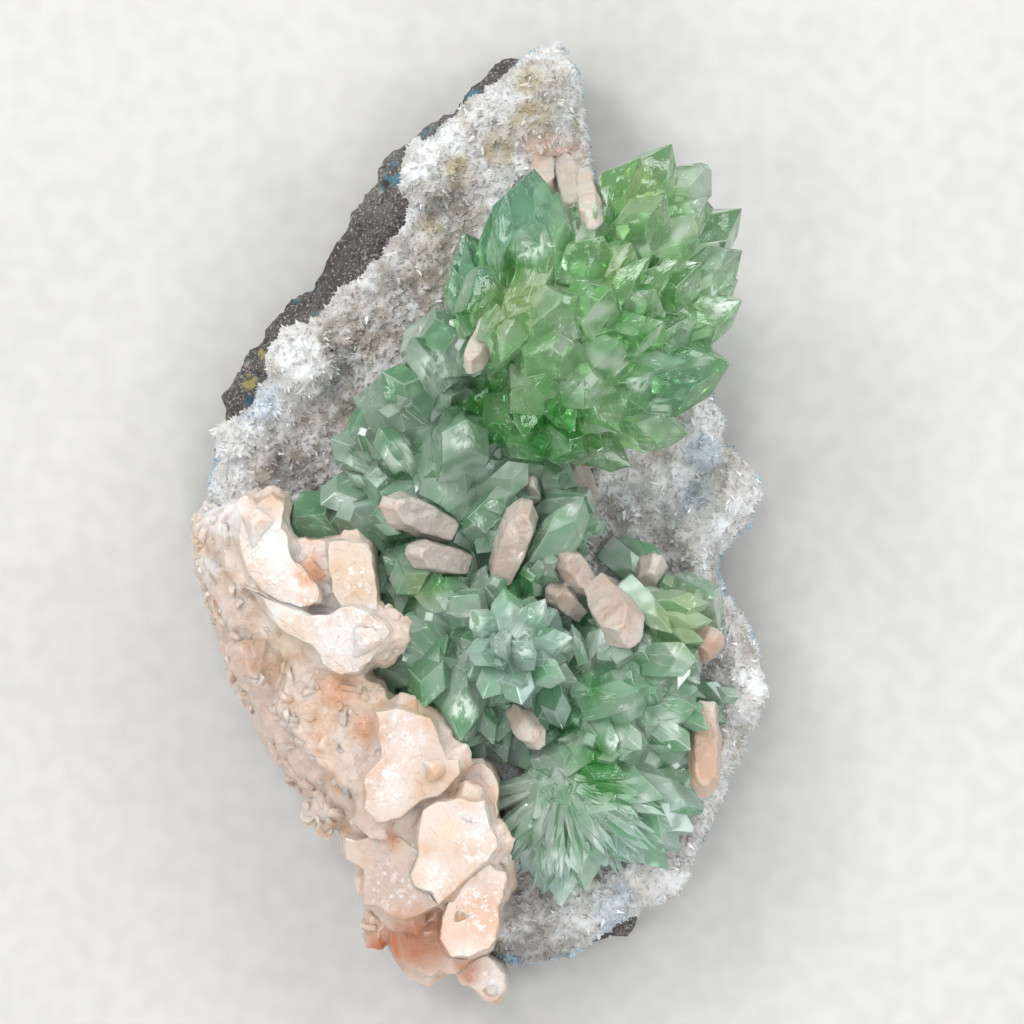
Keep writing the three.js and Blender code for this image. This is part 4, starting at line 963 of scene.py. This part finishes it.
def glass(name, tint, deep, veils_and_painted_glints, clarity, absorb, density, waviness):
    """Clear apophyllite: see-through, with the refraction and the green absorption of the mineral."""
    material, tree, shader = new_material(name)
    place = add_node(tree, "TexCoord", {}, "Object")
    grain = add_node(tree, "Attribute", {"attribute_name": "grain"}, "Vector")
    facet = add_node(tree, "Attribute", {"attribute_name": "facet"}, "Fac")
    cloud = add_node(
        tree, "TexNoise", {"Scale": 1 / (3.6 * MM), "Detail": 1.0, "Roughness": 0.55}, Vector=place)
    colour = add_node(
        tree, "ValToRGB", {"stops": [(0.35, tint[0]), (0.55, tint[1]), (0.7, tint[2])]}, Fac=cloud)
    colour = lay_tone(tree, colour)
    # Painted shade: facets with a low random tone take the deep green, standing in for shaded facets.
    colour = add_node(
        tree, "Mix", {"data_type": "RGBA"}, 2,
        i0=add_node(tree, "MapRange", {"From Min": 0.35, "From Max": 0.1, "To Max": 0.6}, Value=facet),
        i6=colour, i7=deep)
    plan = flat(tree, place)
    fibres = add_node(
        tree, "TexNoise", {"Scale": 1 / (0.32 * MM), "Detail": 1.0, "Roughness": 0.7}, Vector=grain)
    cracks = add_node(
        tree, "TexNoise", {"Scale": 1 / (1.1 * MM), "Detail": 2.0, "Roughness": 0.75}, Vector=grain)
    inside = add_node(
        tree, "Math", {"operation": "MULTIPLY"},
        i0=add_node(tree, "MapRange", {"From Min": 0.55, "From Max": 0.66}, Value=cracks),
        i1=add_node(tree, "MapRange", {"From Min": 0.4, "From Max": 0.6}, Value=fibres))
    inside = add_node(
        tree, "Math", {"operation": "MULTIPLY"}, i0=inside,
        i1=add_node(
            tree, "MapRange", {"From Min": 0.4, "From Max": 0.6, "To Min": 0.15, "To Max": 0.8},
            Value=cloud))
    # Veils: partly real milky cracks inside the crystals, partly painted glints, white spots put where
    # facets glint.
    veil = add_node(
        tree, "Math", {"operation": "MULTIPLY"}, i0=within(tree, plan, veils_and_painted_glints),
        i1=add_node(
            tree, "MapRange", {"From Min": 0.42, "From Max": 0.55, "To Min": 0.2, "To Max": 0.95},
            Value=cracks))
    # Painted light: facets with a high random tone, and the bevelled edges, go milky pale, standing in
    # for lit facets and edge highlights.
    pale = add_node(
        tree, "Math", {"operation": "MULTIPLY"},
        i0=add_node(tree, "MapRange", {"From Min": 0.6, "From Max": 0.85, "To Max": 0.4}, Value=facet),
        i1=add_node(tree, "MapRange", {"From Min": 0.35, "From Max": 0.65}, Value=cloud))
    # The milk holds the real inner cracks and fibres, and also the painted glints and the painted light
    # of the facets.
    milk = add_node(
        tree, "Math", {"operation": "MAXIMUM"}, i0=inside,
        i1=add_node(tree, "Math", {"operation": "MAXIMUM"}, i0=veil, i1=pale))
    colour = add_node(tree, "Mix", {"data_type": "RGBA"}, 2, i0=milk, i6=colour, i7="#EAFBEC")
    tree.links.new(colour, shader.inputs["Base Color"])
    tree.links.new(
        add_node(
            tree, "MapRange", {"From Min": 0, "From Max": 1, "To Min": clarity, "To Max": 0.25},
            Value=milk),
        shader.inputs["Transmission Weight"])
    shader.inputs["Roughness"].default_value = 0.0
    shader.inputs["IOR"].default_value = 1.535
    uneven = add_node(
        tree, "Bump", {"Strength": 0.5, "Distance": waviness},
        Height=add_node(
            tree, "TexNoise", {"Scale": 1 / (2.4 * MM), "Detail": 0.0, "Roughness": 0.55},
            Vector=place))
    striae = add_node(
        tree, "Bump", {"Strength": 0.35, "Distance": 0.05 * MM}, Height=fibres, Normal=uneven)
    tree.links.new(striae, shader.inputs["Normal"])
    volume = add_node(tree, "VolumeAbsorption", {"Color": hex_colour(absorb), "Density": density})
    tree.links.new(volume, tree.nodes["Material Output"].inputs["Volume"])
    return material


def tone_facets(piece, edge_width):
    """Gives every facet a random tone of its own, partly a painted stand-in for facets in light and in
    shade, and the narrow bevelled edges a fixed pale tone, a painted highlight.
    """
    polygons = piece.data.polygons
    tones = np.random.default_rng(len(polygons)).random(len(polygons))
    for polygon in polygons:
        corners = [piece.data.vertices[index].co for index in polygon.vertices]
        perimeter = sum((a - b).length for a, b in zip(corners, corners[1:] + corners[:1]))
        # Painted highlight: the narrow bevelled edges get a fixed pale tone.
        if polygon.area < perimeter / 2 * edge_width:
            tones[polygon.index] = 0.74
    store(piece, "facet", "FLOAT", "FACE", tones)


GRAIN_SQUEEZE = 0.88  # how much shorter a place is along the crystal
NEAR_AXIS = 0.62  # a face this near a crystal's axis, in its widths, is one of its own


def grain_along(piece, placements, heart_of):
    """Stores places squeezed along each crystal's axis, so that a pattern on them runs along it."""
    feet = np.array([matrix.to_translation() for matrix in placements])
    spans = np.array([matrix.col[2].xyz for matrix in placements])
    widths = np.array([matrix.col[0].xyz.length for matrix in placements])
    points = mesh_points(piece)
    grain = np.empty((len(piece.data.loops), 3), np.float32)
    for polygon in piece.data.polygons:
        middle = np.array(polygon.center)
        along = np.einsum("ij,ij->i", middle - feet, spans) / np.einsum("ij,ij->i", spans, spans)
        along = np.clip(along, 0, 1)
        off = np.linalg.norm(middle - feet - along[:, None] * spans, axis=1) / widths
        axis = spans[off.argmin()] if off.min() < NEAR_AXIS else middle - np.array(heart_of(middle))
        axis = axis / np.linalg.norm(axis)
        corners = points[list(polygon.vertices)]
        loops = slice(polygon.loop_start, polygon.loop_start + polygon.loop_total)
        grain[loops] = corners - GRAIN_SQUEEZE * np.outer(corners @ axis, axis)
    store(piece, "grain", "FLOAT_VECTOR", "CORNER", grain)


def grow_on(piece, shape, placements):
    """Joins small crystals to a piece so that they are one body of glass."""
    seeds = bpy.data.collections.new(piece.name + "_seeds")
    bpy.context.scene.collection.children.link(seeds)
    for matrix in placements:
        mesh = bpy.data.meshes.new("seed")
        vertices, polygons = shape
        mesh.from_pydata([matrix @ Vector(v) for v in vertices.tolist()], [], polygons)
        seeds.objects.link(bpy.data.objects.new("seed", mesh))
    finish_with(piece, "BOOLEAN", operation="UNION", operand_type="COLLECTION", collection=seeds,
                solver="MANIFOLD")
    for seed in list(seeds.objects):
        bpy.data.objects.remove(seed)
    bpy.data.collections.remove(seeds)
    piece.data.materials.clear()


spray = cast_of("apophyllite_spray", "apophyllite_spray_crystals")
crisp(spray, 20, 0.09 * MM)
SPRAY_SIDE = [  # root, tip, width and thickness of crystals beside the big ones; millimetres
    ((1.9, 30, 33), (2.3, 44.8, 40), 4.2, 3.6),
    ((4, 31, 36), (4.2, 46.6, 42.5), 4.6, 4),
    ((-1.2, 28.6, 28), (-3.5, 36.8, 36), 3.8, 3.4),
    ((0, 26, 30), (-1.6, 40.2, 38), 3.6, 3.2),
    ((2.4, 33.5, 38), (-0.6, 27.4, 40), 4.2, 3.6),
    ((9.6, 36.4, 47), (3.3, 22.2, 51), 5.6, 3.4),
    ((12, 33, 46), (11.2, 46.4, 51), 4.6, 4),
    ((16.6, 24.8, 48), (26.3, 28, 54), 6, 4.2),
    ((14, 27, 46), (24.6, 37.4, 55), 4.4, 4),
    ((16, 27, 44), (28.4, 36.8, 52), 4.4, 4),
    ((13, 30, 44), (16.8, 44.5, 53), 4, 3.6),
    ((14, 22, 44), (30, 22.6, 48), 4.2, 3.8),
    ((10, 20, 44), (13.8, 12.6, 48), 4.4, 4),
    ((8, 20, 42), (6.6, 11.8, 45), 4, 3.6),
    ((12, 22, 44), (20.4, 12.4, 46), 4.2, 3.8),
]
placements = []
for root, tip, width, thickness in SPRAY_SIDE:
    root, tip = Vector(root) * MM, Vector(tip) * MM
    reach = tip - root
    placements.append(stood(root, reach.normalized(), 0.6, width * MM, thickness * MM, reach.length))
# Random ones cover the underside of the spray, where they don't show from above.
SKIRT_COUNT, SKIRT_TOP = 110, 44 * MM
rng = np.random.default_rng(37)
shade = BVHTree.FromObject(spray, bpy.context.evaluated_depsgraph_get())
for place_at, normal in spread_over(
        spray, SKIRT_COUNT, rng, lambda at, facing: facing[2] < 0.25 and at[2] < SKIRT_TOP):
    direction = normal + (place_at - SPRAY_HEART).normalized() * 0.8 + Vector(rng.normal(0, 0.25, 3))
    direction.normalize()
    width = rng.uniform(2.2, 4.6) * MM
    length, turn = width * rng.uniform(1.9, 2.7), rng.uniform(0, math.tau)
    tip = place_at + direction * rng.uniform(0.7, 1.4) * width
    if shade.ray_cast(tip + direction * 0.5 * MM, Vector((0, 0, 1)))[0]:
        placements.append(stood(tip - direction * length, direction, turn, width, width * 0.85, length))
grow_on(spray, prism_shape, placements)
tone_facets(spray, 0.12 * MM)
grain_along(spray, placements, lambda at: SPRAY_HEART)
SPRAY_TONES = [
    ("#A6DABF", 1, [((6, 45), 9), ((-1, 38), 7)]),
    ("#CBEBA0", 1, [((5.5, 31), 6.5), ((22, 47), 6), ((19, 36), 4)]),
    ("#9ED6B4", 1, [((29, 20), 8)]),
    ("#EAFAEC", 1, [((37, 40), 8), ((34, 48), 6)]),
    ("#74C466", 1, [((22, 26.5), 5), ((-1, 29), 4), ((7, 37), 3), ((1, 17), 5)]),
    ("#55BF57", 1, [((10.5, 12.5), 8), ((2.5, 12), 5)]),
]
tone(spray, SPRAY_TONES)
# Its veils are partly painted glints.
spray.data.materials.append(glass(
    "spray_apophyllite", ("#BDEFB2", "#D6F9C9", "#EEFDE8"), "#82D07A",
    veils_and_painted_glints=[((7.5, 39), 3.2), ((17.5, 45), 2.6), ((34.5, 31.5), 3.2), ((23, 20), 2.2), ((26, 16), 2)],
    clarity=0.74, absorb="#7CF578", density=12, waviness=0.35 * MM))
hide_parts("apophyllite_spray")

# ---- the lower apophyllites ----------------------------------------------------------------------
# Shorter, bluer crystals in clumps, a rosette and a low fan, over the druse.
druse = cast_of("apophyllite_druse", "apophyllite_druse_crystals")
crisp(druse, 20, 0.07 * MM)
ROSETTE_HEART = Vector((4.4, -19.5, 15)) * MM
FAN_HEART = Vector((12.1, -36.5, 21)) * MM
DRUSE_LEAVES = [  # foot and tip from above, rise of the tip over the ground, width, thickness; mm
    ((9.7, -5.2), (15.2, 3.6), 4.5, 5.6, 3),          # the leaf under the spray
    ((19, -4), (24.6, -8.6), 3, 4, 3), ((21, -3.6), (27, -5.6), 2.6, 3.4, 2.6),
    ((-2.3, -20.6), (-2.3, -31.6), 6, 6.4, 5.4),    # the clear prism on the left
    ((-6, -17.6), (-7.8, -26.8), 4, 5.8, 4.6), ((-6.6, -18.4), (-12, -14), 3.6, 5, 4),
    ((-9.4, -8), (-13.6, -5), 2.6, 4, 3.4), ((-7, -8.4), (-4.6, -12.8), 3.4, 5, 5), ((-8, -6),
        (-11.6, -10.4), 3, 5, 5),
    ((5, -17), (3.8, -9.2), 3.6, 4.6, 3), ((6, -16.5), (9.8, -10.8), 3.6, 4.4, 2.6),
    ((6.5, -18), (13.8, -16.4), 3.4, 4.6, 2.4), ((6, -20), (12.8, -22.4), 3.2, 4.2, 2.4),
    ((5.4, -20), (6.4, -26), 3.4, 4.6, 2.6), ((4, -20), (0.8, -25.2), 3.4, 4.2, 2.6),
    ((3.4, -18.6), (-1.6, -18.4), 3.6, 4, 2.6), ((3.4, -17), (-1, -12.4), 3.6, 4, 3),
    ((5.4, -18), (8.4, -19.4), 4.6, 4.6, 2.4), ((4.4, -18.6), (2.6, -16), 4.8, 4, 2.4),
    ((10.6, -23), (12.4, -29.8), 3, 4, 3), ((8.6, -24.6), (9.6, -30.6), 2.8, 3.4, 2.6), ((0, -26),
        (2.4, -32), 3, 3.6, 3),
    ((24.8, -12.4), (33.4, -11.6), 3, 4, 3), ((25, -13.6), (33.8, -14.2), 3.6, 4.4, 3.4),
    ((25, -15), (32.8, -17.2), 3, 4, 3), ((24.6, -19.6), (31.4, -19.6), 3, 5, 3.6), ((33.6, -24.8),
        (38, -25.2), 2, 2.4, 2),
    ((17, -20), (20.4, -13.4), 3, 4.4, 3.6), ((16, -26), (23, -24), 3, 4.6, 3.8), ((17.6, -28),
        (19.4, -33.4), 3, 3.4, 3), ((20, -28.6), (23.6, -32.6), 3, 3.2, 3),
    ((25, -27.6), (31.4, -26.4), 3, 4, 3), ((26, -29), (30.6, -32.6), 3, 3.6, 3), ((28, -26),
        (33.2, -29.8), 3, 3, 2.6),
    ((-3, 8.6), (-1.2, 14.6), 4.5, 7, 6), ((-11, 8.6), (-14, 13.6), 3, 4, 3.4), ((-16, 9),
        (-21, 12), 3, 5, 4),
    ((-17, 5), (-22.6, 2.4), 3, 5, 4), ((-8, 17), (-13.6, 21.4), 3.6, 5.6, 4.6), ((-6, 20),
        (-9, 26.4), 3.6, 5.4, 5),
    ((-8, 2), (-14, 4.4), 3, 4.4, 4), ((2, 4), (7.4, 8.4), 3, 4.4, 4), ((8, 3), (13.4, 6.6), 3, 4, 3.6),
]
SEED_COUNT, SEED_WIDTHS = 130, (1.8, 3.6)  # millimetres
SEED_LOWEST, FAN_TOP = 19 * MM, -37 * MM
NEEDLE_COUNT, NEEDLE_WIDTHS = 110, (0.9, 1.9)
rng = np.random.default_rng(43)
ground = BVHTree.FromObject(druse, bpy.context.evaluated_depsgraph_get())
placements = []


def ground_at(x, y):
    """Height of the crystals already there, or of the druse's foot where there are none."""
    hit = ground.ray_cast(Vector((x * MM, y * MM, 0.1)), Vector((0, 0, -1)))[0]
    return hit.z if hit else 20 * MM


for (x0, y0), (x1, y1), rise, width, thickness in DRUSE_LEAVES:
    top = max(ground_at(x1, y1), ground_at((x0 + x1) / 2, (y0 + y1) / 2)) + rise * MM
    root = Vector((x0 * MM, y0 * MM, ground_at(x0, y0) - 2.5 * MM))
    reach = Vector((x1 * MM, y1 * MM, top)) - root
    turn = rng.uniform(0, 0.8)
    placements.append(stood(root, reach.normalized(), turn, width * MM, thickness * MM, reach.length))
for place_at, normal in spread_over(
        druse, SEED_COUNT, rng,
        lambda at, facing: facing[2] > -0.1 and at[2] > SEED_LOWEST and at[1] > FAN_TOP):
    width = rng.uniform(*SEED_WIDTHS) * MM
    slant = Vector(rng.normal(0, 0.42, 3))
    if (place_at - ROSETTE_HEART).xy.length < 10 * MM:
        direction = (place_at - ROSETTE_HEART).normalized() + slant * 0.4
    else:
        direction = normal * 0.5 + slant + Vector((0, 0, 0.4))
    direction.normalize()
    length = width * rng.uniform(2.2, 3.2)
    tip = place_at + direction * rng.uniform(0.7, 1.3) * width
    root, turn = tip - direction * length, rng.uniform(0, math.tau)
    placements.append(stood(root, direction, turn, width, width * 0.85, length))
for bearing in np.radians(rng.uniform(-172, -8, NEEDLE_COUNT)):  # the needles of the fan
    outward = Vector((math.cos(bearing), math.sin(bearing), 0))
    start, end = rng.uniform(1, 9), rng.uniform(9, 15.5 + 3 * math.sin(-bearing))
    root, tip = FAN_HEART + outward * start * MM, FAN_HEART + outward * end * MM
    root.z = ground_at(root.x / MM, root.y / MM) - 0.6 * MM
    tip.z = min(ground_at(tip.x / MM, tip.y / MM), root.z) + rng.uniform(0.2, 1.4) * MM
    reach = tip - root
    width = rng.uniform(*NEEDLE_WIDTHS) * MM
    placements.append(stood(root, reach.normalized(), rng.uniform(0, 1.5), width, width, reach.length))
grow_on(druse, prism_shape, placements)
tone_facets(druse, 0.12 * MM)
grain_along(druse, placements, lambda at: FAN_HEART if at[1] < -35 * MM else ROSETTE_HEART)
DRUSE_TONES = [
    ("#CBE3CE", 1, [((-5, 24), 7), ((-12, 17), 6), ((-17.5, 9), 6), ((-22, 0), 7), ((0, 7), 6)]),
    ("#DCFBEC", 1, [((6, -18), 9), ((8, -27), 6), ((22, -48), 7), ((10, -52), 6), ((31, -43), 6)]),
    ("#DCF5BE", 1, [((29, -14), 6)]),
    ("#B7D89A", 1, [((-8, -9), 4)]),
    ("#7CCF80", 1, [((6.7, -8.5), 4), ((17, -25), 4), ((-9, -26), 4), ((-5, -8), 3)]),
    # The two darkest greens are partly painted shade in recesses and gaps between the crystals, and
    # partly the fan's own deep green core.
    ("#58B04C", 1, [((17.5, -36), 6), ((0.5, 16.5), 3)]),
    ("#4C9455", 1, [((-3, 16), 2.4), ((-11, -2.5), 2.6), ((-11.7, 7.4), 2.4), ((13, -30), 3)]),
]
tone(druse, DRUSE_TONES)
# Its veils are partly painted glints.
druse.data.materials.append(glass(
    "druse_apophyllite", ("#C6F4CF", "#DCFAE2", "#F2FFF4"), "#66BE74",
    veils_and_painted_glints=[
        ((-6, 22), 3), ((-4.5, 20), 3), ((-2, 12), 2.6), ((-11, 9.5), 3), ((-17, 8), 2.4),
        ((-2, -26.5), 2.4), ((6, -17), 3),
        ((-0.6, -14), 2),
        ((10, -12), 2), ((13, -17), 2), ((27.5, -29), 2.6), ((20, -31), 2), ((11, -49), 2.6),
    ],
    clarity=0.64, absorb="#70F090", density=5, waviness=0.2 * MM))
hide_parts("apophyllite_druse")


# ---- the table and the light ---------------------------------------------------------------------
# A plain pale table top of matt paper under soft studio light: three soft boxes, and a dim room with
# bright panels overhead that glint in the facets.
bpy.ops.object.select_all(action="DESELECT")
bpy.ops.mesh.primitive_plane_add(size=4, location=(0, 0, 0))
table_top = bpy.context.object
table_top.name = "table_top"
paper, tree, shader = new_material("matt_paper")
place = add_node(tree, "TexCoord", {}, "Object")
tree.links.new(
    add_node(
        tree, "ValToRGB", {"stops": [(0.3, "#D2D0CC"), (0.7, "#D8D6D2")]},
        Fac=add_node(
            tree, "TexNoise", {"Scale": 1 / (3 * MM), "Detail": 0.0, "Roughness": 0.55}, Vector=place)),
    shader.inputs["Base Color"])
shader.inputs["Roughness"].default_value = 0.9
table_top.data.materials.append(paper)

SOFT_BOXES = [  # place, width and power
    ((-0.28, 0.30, 0.45), 0.18, 0.8),
    ((0.36, 0.12, 0.40), 0.1, 0.45),
    ((0.04, -0.42, 0.36), 0.08, 0.3),
]
for place_at, width, power in SOFT_BOXES:
    aim = Vector((0, 0, SHARP_HEIGHT)) - Vector(place_at)
    turn = aim.to_track_quat("-Z", "Y").to_euler()
    bpy.ops.object.light_add(type="AREA", location=place_at, rotation=turn)
    bpy.context.object.data.size = width
    bpy.context.object.data.energy = power

world = bpy.data.worlds.new("studio")
bpy.context.scene.world = world
world.use_nodes = True
tree = world.node_tree
sky = add_node(tree, "TexCoord", {}, "Generated")
panels = add_node(
    tree, "MapRange", {"From Min": 0.6, "From Max": 0.64},
    Value=add_node(tree, "TexNoise", {"Scale": 1 / 0.26, "Detail": 0.0, "Roughness": 0.55}, Vector=sky))
overhead = add_node(
    tree, "MapRange", {"From Min": 0.15, "From Max": 0.3},
    Value=add_node(tree, "SeparateXYZ", {}, "Z", i0=sky))
light = add_node(
    tree, "Math", {"operation": "ADD"},
    i0=add_node(
        tree, "Math", {"operation": "MULTIPLY"},
        i0=add_node(tree, "Math", {"operation": "MULTIPLY"}, i0=panels, i1=overhead), i1=7.0),
    i1=0.2)
tree.nodes["Background"].inputs["Color"].default_value = hex_colour("#F4F6F8")
tree.links.new(light, tree.nodes["Background"].inputs["Strength"])
bpy.context.scene.view_settings.view_transform = "Standard"
bpy.context.scene.cycles.max_bounces = 4
bpy.context.scene.cycles.diffuse_bounces = 1
